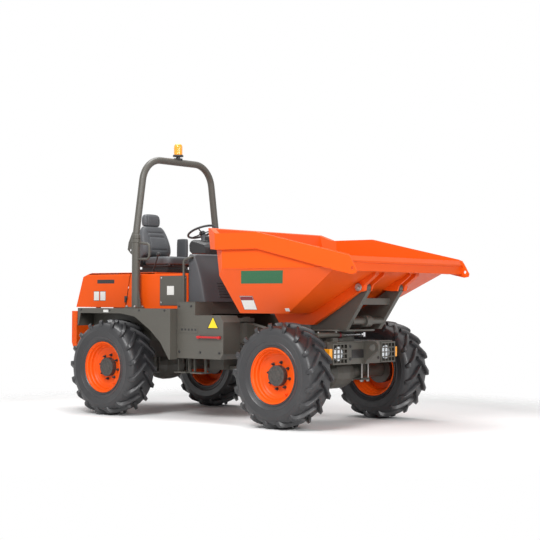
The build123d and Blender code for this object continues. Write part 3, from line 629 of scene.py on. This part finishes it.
def soft_piece(name, node, levels, centre_y, seam, crown, power=4.0, count=96, pressure=1.6):
    """A pad from (z, centre x, half x, half y) levels with a crowned top, whose seams stay drawn in."""
    rows = curved([(z, cx, hx, 0) for z, cx, hx, hy in levels], 6)
    widths = curved([(z, hy, 0, 0) for z, cx, hx, hy in levels], 6)
    rings = [cross_section(row.y, centre_y, row.z, width.y, row.x, count, power)
             for row, width in zip(rows, widths)]
    low_z, low_x, low_hx, low_hy = levels[0]
    top_z, top_x, top_hx, top_hy = levels[-1]
    shrink = (0.93, 0.82, 0.66, 0.46, 0.24, 0.06)
    caps = [cross_section(top_x, centre_y, top_hx * k, top_hy * k, top_z + crown * (1 - k * k), count, power)
            for k in shrink]
    feet = [cross_section(low_x, centre_y, low_hx * k, low_hy * k, low_z, count, power)
            for k in reversed(shrink)]
    bm = bmesh.new()
    loops = [[bm.verts.new(p) for p in ring] for ring in (*feet, *rings, *caps)]
    join_rings(bm, loops)
    cap_rings(bm, loops)
    bm.normal_update()
    for vert in bm.verts:
        if seam(vert.co.x - SHIFT, vert.co.y, vert.co.z) == "seam":
            vert.co -= vert.normal * SEAM_DEPTH
    pad = slotted(name, bm, "rear_chassis", "seat_vinyl", angle=60)
    puff(pad, seam, pressure)
    for polygon in pad.data.polygons:
        polygon.use_smooth = True
    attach(pad, "rear_chassis")
    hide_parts(node)


def near(value, *lines, reach=0.0045):
    return any(abs(value - line) < reach for line in lines)


def back_seam(x, y, z):
    front = x > -1.475 - 0.24 * max(z - 1.93, 0)
    if not front or z < 1.745:
        return "held"
    if near(abs(y), 0.128) and z < 2.13:
        return "seam"
    if abs(y) < 0.125 and near(z, 1.905, 1.955, 2.005, 2.055, 2.105, reach=0.006):
        return "seam"
    return False


def cushion_seam(x, y, z):
    if z < 1.745:
        return "held"
    along = near(abs(y), 0.135, reach=0.006)
    across = abs(y) < 0.135 and near(x, -1.30, -1.21, -1.12, reach=0.007)
    if z > 1.795 and (along or across):
        return "seam"
    return False


def head_seam(x, y, z):
    if z < 2.205 or x < -1.560:
        return "held"
    return "seam" if near(abs(y), 0.088, reach=0.005) and x > -1.52 else False


def arm_seam(x, y, z):
    if z < 1.825:
        return "held"
    return "seam" if near(y, 0.300, reach=0.003) else False


BACK_LEVELS = [(1.7165, -1.475, 0.029, 0.222), (1.750, -1.475, 0.030, 0.226), (1.802, -1.475, 0.030, 0.230),
               (1.850, -1.457, 0.076, 0.233), (1.930, -1.457, 0.078, 0.233), (2.030, -1.478, 0.068, 0.220),
               (2.110, -1.500, 0.058, 0.198), (2.160, -1.510, 0.048, 0.165), (2.180, -1.515, 0.036, 0.140)]
CUSHION_LEVELS = [(1.7165, -1.2125, 0.216, 0.222), (1.730, -1.2125, 0.226, 0.233),
                  (1.770, -1.2125, 0.226, 0.233), (1.795, -1.2125, 0.220, 0.226),
                  (1.806, -1.2125, 0.205, 0.212)]
HEAD_LEVELS = [(2.186, -1.530, 0.034, 0.108), (2.198, -1.530, 0.045, 0.124), (2.245, -1.530, 0.049, 0.132),
               (2.300, -1.532, 0.045, 0.124), (2.326, -1.534, 0.032, 0.100)]
ARM_LEVELS = [(1.801, -1.2900, 0.070, 0.018), (1.815, -1.2885, 0.080, 0.022), (1.920, -1.2870, 0.082, 0.0235),
              (2.020, -1.2870, 0.078, 0.0225), (2.038, -1.2870, 0.070, 0.018)]
soft_piece("seat_back_pad", "seat_backrest", BACK_LEVELS, 0.0, back_seam, 0.006, 3.2, 120)
soft_piece("seat_cushion_pad", "seat_cushion", CUSHION_LEVELS, 0.0, cushion_seam, 0.014, 5.0, 120)
soft_piece("headrest_pad", "headrest", HEAD_LEVELS, 0.0, head_seam, 0.009, 3.4, 80)
soft_piece("arm_rest_pad", "arm_pad", ARM_LEVELS, 0.300, arm_seam, 0.005, 5.0, 64)


# Seat plinth trim: bellows ribs, slides, a belt box, a lever and the headrest's stems
def seat_trim():
    bm = bmesh.new()
    for step in range(4):
        z = 1.624 + 0.0105 * step
        add_block(bm, at(-1.545, -0.210, z), at(-1.035, 0.210, z + 0.006))
    for side in (1, -1):
        add_block(bm, at(-1.560, side * 0.150 - 0.012, 1.6945), at(-1.000, side * 0.150 + 0.012, 1.7145))
    slotted("seat_bellows", bm, "rear_chassis", "black_plastic", 0.002)
    bm = bmesh.new()
    add_block(bm, at(-1.470, -0.292, 1.690), at(-1.405, -0.248, 1.800))
    add_block(bm, at(-1.475, 0.240, 1.700), at(-1.425, 0.262, 1.770))
    lever = [at(-1.080, -0.216, 1.704), at(-1.030, -0.232, 1.702), at(-0.975, -0.232, 1.708)]
    add_tube(bm, curved(lever), 0.008)
    slotted("belt_box", bm, "rear_chassis", "black_plastic", 0.004)
    bm = bmesh.new()
    for side in (1, -1):
        add_turned(bm, at(-1.53, side * 0.05, 2.165), UP, [(0, 0.006), (0.045, 0.006)], 14)
    slotted("headrest_stems", bm, "rear_chassis", "rod_chrome")


def arm_post():
    bm = bmesh.new()
    spot = at(-1.287, 0.300, 1.6182)
    stations = [(0, 0.0235), (0.010, 0.0235), (0.014, 0.0185), (0.150, 0.0175), (0.155, 0.0205),
                (0.200, 0.0205)]
    add_turned(bm, spot, UP, stations, 28)
    slotted("arm_post", bm, "rear_chassis", "black_plastic")


seat_trim()
arm_post()


# Cowl as one smooth moulding, with the driver's leg room cut out of it
COWL_RINGS = [
    (1.2836, [(-0.325, 0.598), (-0.120, 0.598), (-0.083, 0.570),
              (-0.030, 0.420), (0.040, 0.230), (0.111, 0.060)]),
    (1.560, [(-0.325, 0.598), (-0.191, 0.598), (-0.151, 0.570),
             (-0.106, 0.420), (-0.066, 0.230), (0.007, 0.060)]),
    (1.765, [(-0.325, 0.598), (-0.257, 0.598), (-0.229, 0.570),
             (-0.207, 0.420), (-0.168, 0.230), (-0.100, 0.060)]),
    (1.800, [(-0.325, 0.590), (-0.268, 0.590), (-0.244, 0.562),
             (-0.222, 0.414), (-0.184, 0.230), (-0.122, 0.060)]),
    (1.814, [(-0.325, 0.572), (-0.284, 0.572), (-0.264, 0.546),
             (-0.242, 0.404), (-0.207, 0.228), (-0.152, 0.060)])]


def cowl_moulding():
    bm = bmesh.new()
    rings = []
    for z, half in COWL_RINGS:
        outer = [Vector((x, y, z)) for x, y in half]
        row = [outer[0]] + curved(outer[1:], 5)
        whole = row + [Vector((p.x, -p.y, p.z)) for p in reversed(row)]
        rings.append([at(*p) for p in whole])
    columns = [curved(column, 5) for column in zip(*rings)]
    rows = [[bm.verts.new(column[i]) for column in columns] for i in range(len(columns[0]))]
    join_rings(bm, rows)
    cap_rings(bm, rows)
    cowl = slotted("cowl_moulding", bm, "rear_chassis", "grey_plastic", angle=40)
    bm = bmesh.new()
    well = [at(-0.400, -0.480, 1.288), at(-0.120, -0.480, 1.288), at(-0.270, -0.480, 1.780),
            at(-0.400, -0.480, 1.780)]
    add_prism(bm, well, (0, 0.96, 0))
    cutter = piece("leg_room", bm, "rear_chassis", slot_material["grey_plastic"])
    cut = cowl.modifiers.new("leg_room", "BOOLEAN")
    cut.operation = "DIFFERENCE"
    cut.object = cutter
    graph = bpy.context.evaluated_depsgraph_get()
    mesh = bpy.data.meshes.new_from_object(cowl.evaluated_get(graph))
    cowl.modifiers.remove(cut)
    cowl.data = mesh
    mesh.set_sharp_from_angle(angle=math.radians(40))
    bpy.data.objects.remove(cutter)
    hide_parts("cowl")


def cowl_louvres():
    bm = bmesh.new()
    low, high = COWL_RINGS[0], COWL_RINGS[1]
    for side in (1, -1):
        (ax, ay), (bx, by) = low[1][3], low[1][4]
        (cx, cy), (dx, dy) = high[1][3], high[1][4]
        a, b = Vector((ax, side * ay, low[0])), Vector((bx, side * by, low[0]))
        c, d = Vector((cx, side * cy, high[0])), Vector((dx, side * dy, high[0]))
        out = (b - a).cross(c - a).normalized() * (-side)
        out = out if out.x > 0 else -out
        for row in range(6):
            v = 0.18 + 0.11 * row
            left = a.lerp(c, v).lerp(b.lerp(d, v), 0.10)
            right = a.lerp(c, v).lerp(b.lerp(d, v), 0.90)
            rise = (c - a).normalized() * 0.018
            outline = [left - out * 0.004, left + out * 0.007, left + rise + out * 0.001,
                       left + rise - out * 0.004]
            add_prism(bm, [at(*p) for p in outline], right - left)
    slotted("cowl_louvres", bm, "rear_chassis", "black_plastic", 0.0012)


cowl_moulding()
cowl_louvres()


# Steering wheel with its column, shroud, spokes and horn button
COLUMN_TILT = math.radians(24)
COLUMN_DOWN = Vector((math.sin(COLUMN_TILT), 0, -math.cos(COLUMN_TILT)))
WHEEL_AT = at(-0.690, 0, 2.098)


def steering():
    bm = bmesh.new()
    axis, u, v = frame_of(COLUMN_DOWN)
    mean, grip = 0.165, 0.0128
    rings = []
    for i in range(72):
        a = 2 * math.pi * i / 72
        out = u * math.cos(a) + v * math.sin(a)
        rings.append([bm.verts.new(WHEEL_AT + out * (mean + grip * math.cos(b)) + axis * grip * math.sin(b))
                      for b in (2 * math.pi * k / 16 for k in range(16))])
    join_rings(bm, rings + rings[:1])
    hub = [(0, 0.012), (0.002, 0.026), (0.010, 0.035), (0.040, 0.036), (0.044, 0.022)]
    add_turned(bm, WHEEL_AT - axis * 0.004, axis, hub, 32)
    add_turned(bm, WHEEL_AT, axis, [(0.03, 0.021), (0.178, 0.021)], 24)
    for angle in (60, 180, 300):
        a = math.radians(angle)
        out = Vector((math.cos(COLUMN_TILT) * math.cos(a), math.sin(a), math.sin(COLUMN_TILT) * math.cos(a)))
        path = [WHEEL_AT + axis * 0.018 + out * 0.02, WHEEL_AT + axis * 0.014 + out * 0.08,
                WHEEL_AT + axis * 0.004 + out * 0.13, WHEEL_AT + out * 0.158]
        add_tube(bm, curved(path, 5), 0.0075, 12)
    wheel = slotted("steering_detail", bm, "rear_chassis", "black_plastic", angle=40)
    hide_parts("steering_wheel")
    bm = bmesh.new()
    shroud = [(0, 0.030), (0.030, 0.034), (0.085, 0.048), (0.118, 0.058)]
    add_turned(bm, WHEEL_AT + axis * 0.050, axis, shroud, 32)
    slotted("column_shroud", bm, "rear_chassis", "grey_plastic", 0.002)


steering()


# Signs and plates, all blank: a thin plate on a surface
def plate(name, centre, across, lean, up_side, out, size, material, body, thick=0.0012, edge=None):
    """A blank plate from its centre, its width's direction and lean, its up direction and its outer side."""
    bm = bmesh.new()
    w, h = Vector(across).normalized() * size[0] / 2, Vector(up_side).normalized() * size[1] / 2
    out = Vector(out).normalized()
    slant = Vector(across).normalized() * lean
    centre = Vector(centre)
    corners = [-w - h - slant, w - h - slant, w + h + slant, h - w + slant]
    add_prism(bm, [centre + corner for corner in corners], out * thick)
    piece(name, bm, body, material)
    if edge:
        bm = bmesh.new()
        k = 1.0 + 0.008 / min(size)
        add_prism(bm, [centre + corner * k for corner in (-w - h, w - h, w + h, h - w)], out * thick * 0.5)
        piece(name + "_edge", bm, body, edge)


SKIP_SIDE_UP = Vector((0, -0.265, 0.465)).normalized()


def skip_signs():
    """Blank signs on the right side, the one that is seen."""
    up_side = Vector((0, SKIP_SIDE_UP.y, SKIP_SIDE_UP.z))
    out = Vector((0, -SKIP_SIDE_UP.z, SKIP_SIDE_UP.y))

    def sign(name, x, z, lean, size, material, thick=0.0012, edge=None):
        spot = at(x, -(0.735 + 0.265 * (z - 1.165) / 0.465), z)
        plate(name, spot, (1, 0, 0), lean, up_side, out, size, material, "skip", thick, edge)

    sign("skip_band_sign", 1.036, 1.540, 0.032, (0.560, 0.150), green_sign)
    sign("skip_notice", 0.727, 1.275, 0.0, (0.172, 0.160), white_sign, edge=black_sign)
    sign("skip_notice_head", 0.727, 1.322, 0.0, (0.168, 0.045), red_sign, 0.0018)
    sign("skip_tag", 1.224, 1.206, 0.0, (0.055, 0.036), white_sign)


def body_signs():
    def sign(name, x, side, z, size, material, body, edge=None):
        plate(name, at(x, -side, z), (1, 0, 0), 0.0, UP, (0, -1, 0), size, material, body, edge=edge)

    hood_side = BODY_SIDE + PROUD
    sign("hood_bar", -1.657, hood_side, 1.514, (0.290, 0.044), black_sign, "hood")
    sign("hood_sticker_0", -1.815, hood_side, 1.345, (0.088, 0.104), white_sign, "hood", black_sign)
    sign("hood_sticker_1", -1.705, hood_side, 1.345, (0.088, 0.104), white_sign, "hood", black_sign)
    sign("panel_label", -0.589, PANEL_SIDE, 1.408, (0.108, 0.100), white_sign, "rear_chassis")
    triangles = (("triangle_edge", 1.131, 0.085, 0.0010, black_sign),
                 ("warning_triangle", 1.115, 0.069, 0.0018, yellow_sign))
    for name, top, half, thick, material in triangles:
        bm = bmesh.new()
        tip = at(0.205, -BOX_SIDE - 0.0001, top)
        low = -half * 1.64
        add_prism(bm, [tip + Vector((-half, 0, low)), tip + Vector((half, 0, low)), tip], (0, -thick, 0))
        piece(name, bm, "rear_chassis", material)
    bm = bmesh.new()
    add_block(bm, at(-1.400, -FENDER_SIDE - 0.005, 1.157), at(-1.318, -FENDER_SIDE, 1.187))
    piece("fender_reflector", bm, "rear_chassis", white_sign, bevel=0.001)


skip_signs()
body_signs()


# Roll-over arch as a smooth tube with its collars, pins and foot bolts
def arch_path():
    y, foot, shoulder, top = ARCH_SIDE, 2.0003, 0.545, ARCH_TOP
    plan = ((-y, foot), (-y, foot + 0.06), (-shoulder, top), (shoulder, top), (y, foot + 0.06), (y, foot))
    corners = [Vector((ARCH_X, *spot)) for spot in plan]
    spots = [corners[0]]
    for before, corner, after, bend in zip(corners, corners[1:], corners[2:], (0.10, 0.290, 0.290, 0.10)):
        back, on = (before - corner).normalized(), (after - corner).normalized()
        half = back.angle(on) / 2
        centre = corner + (back + on).normalized() * (bend / math.sin(half))
        start = corner + back * (bend / math.tan(half)) - centre
        end = corner + on * (bend / math.tan(half)) - centre
        steps = 16 if half < 1.2 else 4
        spots += [centre + start.slerp(end, k / steps).normalized() * bend for k in range(steps + 1)]
    return [at(*p) for p in spots + [corners[-1]]]


def roll_bar():
    bm = bmesh.new()
    add_tube(bm, arch_path(), ARCH_TUBE, 32)
    arch = slotted("arch_tube", bm, "rear_chassis", "dark_paint", angle=40)
    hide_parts("rops_arch")
    bm = bmesh.new()
    for side in (1, -1):
        y = side * ARCH_SIDE
        collar = [(0, 0.0475), (0.002, 0.0520), (0.043, 0.0520), (0.045, 0.0475)]
        socket = [(0, 0.0405), (0, 0.0500), (0.040, 0.0500), (0.048, 0.0415)]
        add_turned(bm, at(ARCH_X, y, 1.955), UP, collar, 40)
        add_turned(bm, at(ARCH_X, y, 2.002), UP, socket, 40)
    slotted("arch_collars", bm, "rear_chassis", "dark_paint", 0.001)
    bm = bmesh.new()
    for side in (1, -1):
        y = side * ARCH_SIDE
        for dx in (-0.066, 0.066):
            for dy in (-0.040, 0.078):
                add_bolt(bm, at(-1.08 + dx, y + side * dy, 1.2202), UP, 0.024, 0.014)
        add_bolt(bm, at(ARCH_X, y - side * 0.052, 1.977), (0, -side, 0), 0.024, 0.012)
        add_bolt(bm, at(-1.160, y - side * 0.034, 2.010), (0, -side, 0), 0.020, 0.010)
    piece("arch_bolts", bm, "rear_chassis", steel)


roll_bar()


# Beacon: ribbed lens and its collar
def beacon():
    low = ARCH_TOP + ARCH_TUBE + 0.050
    bm = bmesh.new()
    stations = [(0.0006, 0.051)]
    for rib in range(9):
        z = 0.008 + 0.0105 * rib
        stations += [(z, 0.0518), (z + 0.005, 0.0498)]
    stations += [(0.108, 0.0490), (0.120, 0.0435), (0.129, 0.0320), (0.1335, 0.0150), (0.134, 0.004)]
    add_turned(bm, at(ARCH_X, 0, low), UP, stations, 48)
    lens = slotted("beacon_dome", bm, "rear_chassis", "amber_lens", angle=60)
    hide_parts("beacon_lens")
    bm = bmesh.new()
    collar = [(0, 0.0602), (0.003, 0.0630), (0.016, 0.0630), (0.0215, 0.0560)]
    add_turned(bm, at(ARCH_X, 0, low - 0.022), UP, collar, 48)
    slotted("beacon_collar", bm, "rear_chassis", "black_plastic")


beacon()


# Handrails as smooth bent tubes
def handrails():
    bm = bmesh.new()
    for side in (1, -1):
        y = side * RAIL_SIDE
        path = [at(-0.362, y, 1.2043), at(-0.362, y, 1.45), at(-0.362, y, 1.70), at(-0.360, y, 1.728),
                at(-0.350, y, 1.744), at(-0.330, y, 1.7545), at(-0.300, y, 1.764), at(-0.285, y, 1.769),
                at(-0.272, side * 0.634, 1.7735), at(-0.265, side * 0.622, 1.775),
                at(-0.265, side * 0.602, 1.775)]
        add_tube(bm, path, 0.0138, 20)
        add_turned(bm, at(-0.362, y, 1.2042), UP, [(0, 0.030), (0.006, 0.030), (0.008, 0.022)], 24)
    rails = slotted("grab_rails", bm, "rear_chassis", "dark_paint", angle=40)
    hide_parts("handrails")


handrails()


# Head lamps behind their guards: bowl and domed glass
def head_lamps():
    for side in (1, -1):
        tag = "left" if side > 0 else "right"
        spot = at(1.5885, side * 0.420, 0.756)
        bm = bmesh.new()
        stations = [(0, 0.070), (0.004, 0.0775), (0.030, 0.0775), (0.034, 0.0740)]
        add_turned(bm, spot, (1, 0, 0), stations, 48)
        slotted(f"lamp_bowl_{tag}", bm, "front_chassis", "rod_chrome")
        bm = bmesh.new()
        stations = [(0.0345, 0.0735), (0.038, 0.0660), (0.0415, 0.0480), (0.0435, 0.0240), (0.044, 0.004)]
        add_turned(bm, spot, (1, 0, 0), stations, 48)
        glass = slotted(f"lamp_lens_{tag}", bm, "front_chassis", "lamp_glass", angle=60)
        if side > 0:
            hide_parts("headlamps")


head_lamps()


# Bolts, pin caps, clamp studs and welds that show from a step away
def fasteners():
    bm = bmesh.new()
    for side in (1, -1):
        for x in (-0.30, -0.12):
            add_bolt(bm, at(x, side * (BOX_SIDE + PROUD), 1.235), (0, side, 0), 0.019, 0.009)
        for x in (-0.290, 0.020, 0.300):
            add_bolt(bm, at(x, side * (BOX_SIDE + PROUD), 0.735), (0, side, 0), 0.019, 0.009)
        for x in (-1.78, -1.30, -0.82, -0.42):
            add_bolt(bm, at(x, side * (FENDER_SIDE + PROUD), 1.185), (0, side, 0), 0.017, 0.008)
    slotted("body_bolts", bm, "rear_chassis", "black_steel")
    bm = bmesh.new()
    for x in (-0.735, -0.367):
        for z in (1.271, 1.550):
            screw = at(x, -PANEL_SIDE, z)
            add_turned(bm, screw, (0, -1, 0), [(0, 0.012), (0.003, 0.012), (0.005, 0.009)], 20)
    piece("panel_screws", bm, "rear_chassis", steel)
    bm = bmesh.new()
    for side in (1, -1):
        spot = at(1.870, side * 0.4152, 1.440)
        add_turned(bm, spot, (0, side, 0), [(-0.002, 0.040), (0.006, 0.040), (0.009, 0.036)], 32)
        add_bolt(bm, spot + Vector((0, side * 0.008, 0)), (0, side, 0), 0.026, 0.012)
    piece("pivot_caps", bm, "skip", steel)
    bm = bmesh.new()
    for side in (1, -1):
        for dx in (-0.104, 0.104):
            for dy in (-0.058, 0.058):
                spot = at(1.25 + dx, side * 0.415 + dy, 0.430)
                add_turned(bm, spot, UP, [(-0.004, 0.0115), (0.212, 0.0115)], 16)
                add_turned(bm, spot, UP, [(-0.002, 0.021), (0.016, 0.021)], 6)
    piece("clamp_studs", bm, "front_chassis", steel)
    bm = bmesh.new()
    for side in (1, -1):
        for z in (0.700, 0.830):
            add_bolt(bm, at(1.6482, side * 0.250, z), (1, 0, 0), 0.022, 0.010)
    slotted("face_bolts", bm, "front_chassis", "black_steel")


def weld(name, lines, body, slot, radius=0.0035):
    bm = bmesh.new()
    for start, end in lines:
        add_tube(bm, [Vector(start).lerp(Vector(end), k / 8) for k in range(9)], radius, 8)
    slotted(name, bm, body, slot, angle=60)


def welds():
    lines = []
    for side in (1, -1):
        lines += [(at(0.475, side * 1.0005, 1.8295), at(1.030, side * 1.0005, 1.8275)),
                  (at(1.030, side * 1.0005, 1.8275), at(1.960, side * 1.0005, 1.6135)),
                  (at(0.560, side * 1.0000, 1.630), at(1.885, side * 1.0000, 1.630))]
    weld("skip_welds", lines, "skip", "orange_paint")


fasteners()
welds()


# Slew ram's red band and ports, and the slotted plate on each side box
def ram_trim():
    bm = bmesh.new()
    add_turned(bm, at(1.5, -0.262, 0.945), (0, 1, 0), [(0, 0.0315), (0.020, 0.0315)], 24)
    piece("ram_band", bm, "front_chassis", red_sign)
    bm = bmesh.new()
    for y in (-0.60, -0.30):
        port = [(-0.004, 0.010), (0.010, 0.010), (0.010, 0.0075), (0.011, 0.0075)]
        add_turned(bm, at(1.5, y, 0.972), UP, port, 16)
    piece("ram_ports", bm, "front_chassis", steel)
    bm = bmesh.new()
    for side in (1, -1):
        y = side * (BOX_SIDE + PROUD)
        add_block(bm, at(-0.285, y, 0.942), at(-0.015, y + side * 0.004, 1.015))
    slotted("slotted_plates", bm, "rear_chassis", "dark_paint", 0.001)
    # Black marks on each plate: painted shade standing in for the open slots.
    bm = bmesh.new()
    for side in (1, -1):
        y = side * (BOX_SIDE + PROUD + 0.004)
        for index in range(5):
            x = -0.262 + 0.050 * index
            add_block(bm, at(x, y, 0.968), at(x + 0.026, y + side * 0.0012, 0.990))
    slotted("plate_slot_shade", bm, "rear_chassis", "black_steel")


ram_trim()


# Dash face: rocker switches and a key
def dash_panel():
    bm = bmesh.new()
    slope = Vector((0.210, 0, -0.054)).normalized()
    out = Vector((0.054, 0, 0.210)).normalized()
    for index in range(6):
        y = -0.215 + 0.034 * index if index < 3 else 0.147 + 0.034 * (index - 3)
        spot = at(-0.500, y, 1.9805) - out * 0.002
        outline = [spot, spot + Vector((0, 0.024, 0)), spot + slope * 0.046 + Vector((0, 0.024, 0)),
                   spot + slope * 0.046]
        add_prism(bm, outline, out * 0.009)
    slotted("dash_switches", bm, "rear_chassis", "black_steel", 0.002)
    bm = bmesh.new()
    lock = [(0, 0.014), (0.012, 0.014), (0.014, 0.010)]
    add_turned(bm, at(-0.585, 0.225, 1.955), (-0.9, 0, 0.3), lock, 24)
    add_turned(bm, at(-0.598, 0.225, 1.959), (-0.9, 0, 0.3), [(0, 0.004), (0.022, 0.004)], 10)
    piece("dash_key", bm, "rear_chassis", steel)


dash_panel()


# Rear lamps, hood catches and a blank plate on the front face
REAR_LAMPS = (("body", "black_plastic", -1.858, -1.8402, -0.075, 0.075, 1.060, 1.150, 0.003),
              ("red", "red_paint", -1.876, -1.8575, -0.068, -0.004, 1.067, 1.143, 0.004),
              ("amber", "amber_lens", -1.876, -1.8575, 0.004, 0.068, 1.067, 1.143, 0.004))


def rear_lamps_and_catches():
    for side in (1, -1):
        tag = "left" if side > 0 else "right"
        middle = side * 0.760
        for name, slot, back, front, inner, outer, low, high, bevel in REAR_LAMPS:
            bm = bmesh.new()
            add_block(bm, at(back, middle + inner, low), at(front, middle + outer, high))
            slotted(f"rear_lamp_{name}_{tag}", bm, "rear_chassis", slot, bevel)
        bm = bmesh.new()
        wall = side * (BODY_SIDE + PROUD)
        lever = wall + side * 0.010
        add_block(bm, at(-1.330, wall - 0.001, 1.300), at(-1.285, wall + side * 0.012, 1.345))
        add_block(bm, at(-1.322, lever - 0.001, 1.270), at(-1.293, lever + side * 0.010, 1.330))
        slotted(f"hood_catch_{tag}", bm, "hood", "black_plastic", 0.003)
    plate("front_blank_plate", at(1.6485, -0.120, 0.752), (0, 1, 0), 0.0, UP, (1, 0, 0), (0.210, 0.090),
          black_sign, "front_chassis")


rear_lamps_and_catches()


# Camera at the photograph's viewpoint
AZIMUTH = math.radians(40.008)
PITCH = math.radians(1.359)
ROLL = math.radians(0.279)
CAMERA_AT = (9.7208 + SHIFT, -11.1636, 1.2945)
LENS_MM = 87.30
SENSOR_MM = 36.0
look = Vector((-math.sin(AZIMUTH) * math.cos(PITCH), math.cos(AZIMUTH) * math.cos(PITCH), math.sin(PITCH)))
right = Vector((math.cos(AZIMUTH), math.sin(AZIMUTH), 0))
up = right.cross(look)
right_rolled = right * math.cos(ROLL) + up * math.sin(ROLL)
up_rolled = up * math.cos(ROLL) - right * math.sin(ROLL)
camera_data = bpy.data.cameras.new("camera")
camera_data.lens = LENS_MM
camera_data.sensor_width = SENSOR_MM
camera = placed("camera", camera_data)
turn = Matrix((right_rolled, up_rolled, -look)).transposed()
camera.matrix_world = Matrix.Translation(Vector(CAMERA_AT)) @ turn.to_4x4()
bpy.context.scene.camera = camera
camera_data.clip_end = 200.0


# Stage: a pale floor that fades into the white background, and soft studio light
FADE_FROM = 2.9
FADE_TO = 5.2
WORLD_LEVEL = 0.36


def stage():
    material = bpy.data.materials.new("pale_floor")
    material.use_nodes = True
    tree = material.node_tree
    link = tree.links.new
    shader = tree.nodes["Principled BSDF"]
    shader.inputs["Base Color"].default_value = (0.93, 0.93, 0.93, 1)
    shader.inputs["Roughness"].default_value = 0.9
    shader.inputs["Specular IOR Level"].default_value = 0.1
    place = tree.nodes.new("ShaderNodeTexCoord")
    length = tree.nodes.new("ShaderNodeVectorMath")
    length.operation = "LENGTH"
    fade = tree.nodes.new("ShaderNodeMapRange")
    fade.interpolation_type = "SMOOTHSTEP"
    fade.inputs["From Min"].default_value = FADE_FROM
    fade.inputs["From Max"].default_value = FADE_TO
    clear = tree.nodes.new("ShaderNodeBsdfTransparent")
    mix = tree.nodes.new("ShaderNodeMixShader")
    link(place.outputs["Object"], length.inputs[0])
    link(length.outputs["Value"], fade.inputs["Value"])
    link(fade.outputs["Result"], mix.inputs[0])
    link(shader.outputs[0], mix.inputs[1])
    link(clear.outputs[0], mix.inputs[2])
    link(mix.outputs[0], tree.nodes["Material Output"].inputs["Surface"])
    bm = bmesh.new()
    add_block(bm, (-11, -11, -0.02), (11, 11, 0.0))
    mesh = bpy.data.meshes.new("floor")
    bm.to_mesh(mesh)
    bm.free()
    mesh.materials.append(material)
    floor = placed("floor", mesh)


def studio_world():
    """White where it is seen or mirrored, and dimmer as a light."""
    world = bpy.data.worlds.new("studio")
    bpy.context.scene.world = world
    world.use_nodes = True
    tree = world.node_tree
    link = tree.links.new
    back = tree.nodes["Background"]
    back.inputs["Color"].default_value = (1, 1, 1, 1)
    back.inputs["Strength"].default_value = WORLD_LEVEL
    seen = tree.nodes.new("ShaderNodeBackground")
    seen.inputs["Color"].default_value = (1, 1, 1, 1)
    seen.inputs["Strength"].default_value = 1.0
    path = tree.nodes.new("ShaderNodeLightPath")
    either = None
    for ray in ("Is Camera Ray", "Is Glossy Ray", "Is Transmission Ray"):
        if either is None:
            either = path.outputs[ray]
            continue
        most = tree.nodes.new("ShaderNodeMath")
        most.operation = "MAXIMUM"
        link(either, most.inputs[0])
        link(path.outputs[ray], most.inputs[1])
        either = most.outputs[0]
    mix = tree.nodes.new("ShaderNodeMixShader")
    link(either, mix.inputs[0])
    link(back.outputs[0], mix.inputs[1])
    link(seen.outputs[0], mix.inputs[2])
    link(mix.outputs[0], tree.nodes["World Output"].inputs["Surface"])


def area_light(name, place, target, size, power):
    data = bpy.data.lights.new(name, "AREA")
    data.shape = "DISK"
    data.size = size
    data.energy = power
    lamp = placed(name, data)
    lamp.location = place
    lamp.rotation_euler = (Vector(target) - Vector(place)).to_track_quat("-Z", "Y").to_euler()


stage()
studio_world()
area_light("key", (2.0, -7.0, 7.0), (0, 0, 1.0), 4.2, 640)
area_light("top", (-2.0, 1.0, 9.0), (0, 0, 1.0), 5.0, 470)
area_light("front", (9.0, -3.5, 4.0), (1.0, 0, 1.2), 4.0, 400)
bpy.context.scene.view_settings.view_transform = "Standard"

keep_size()
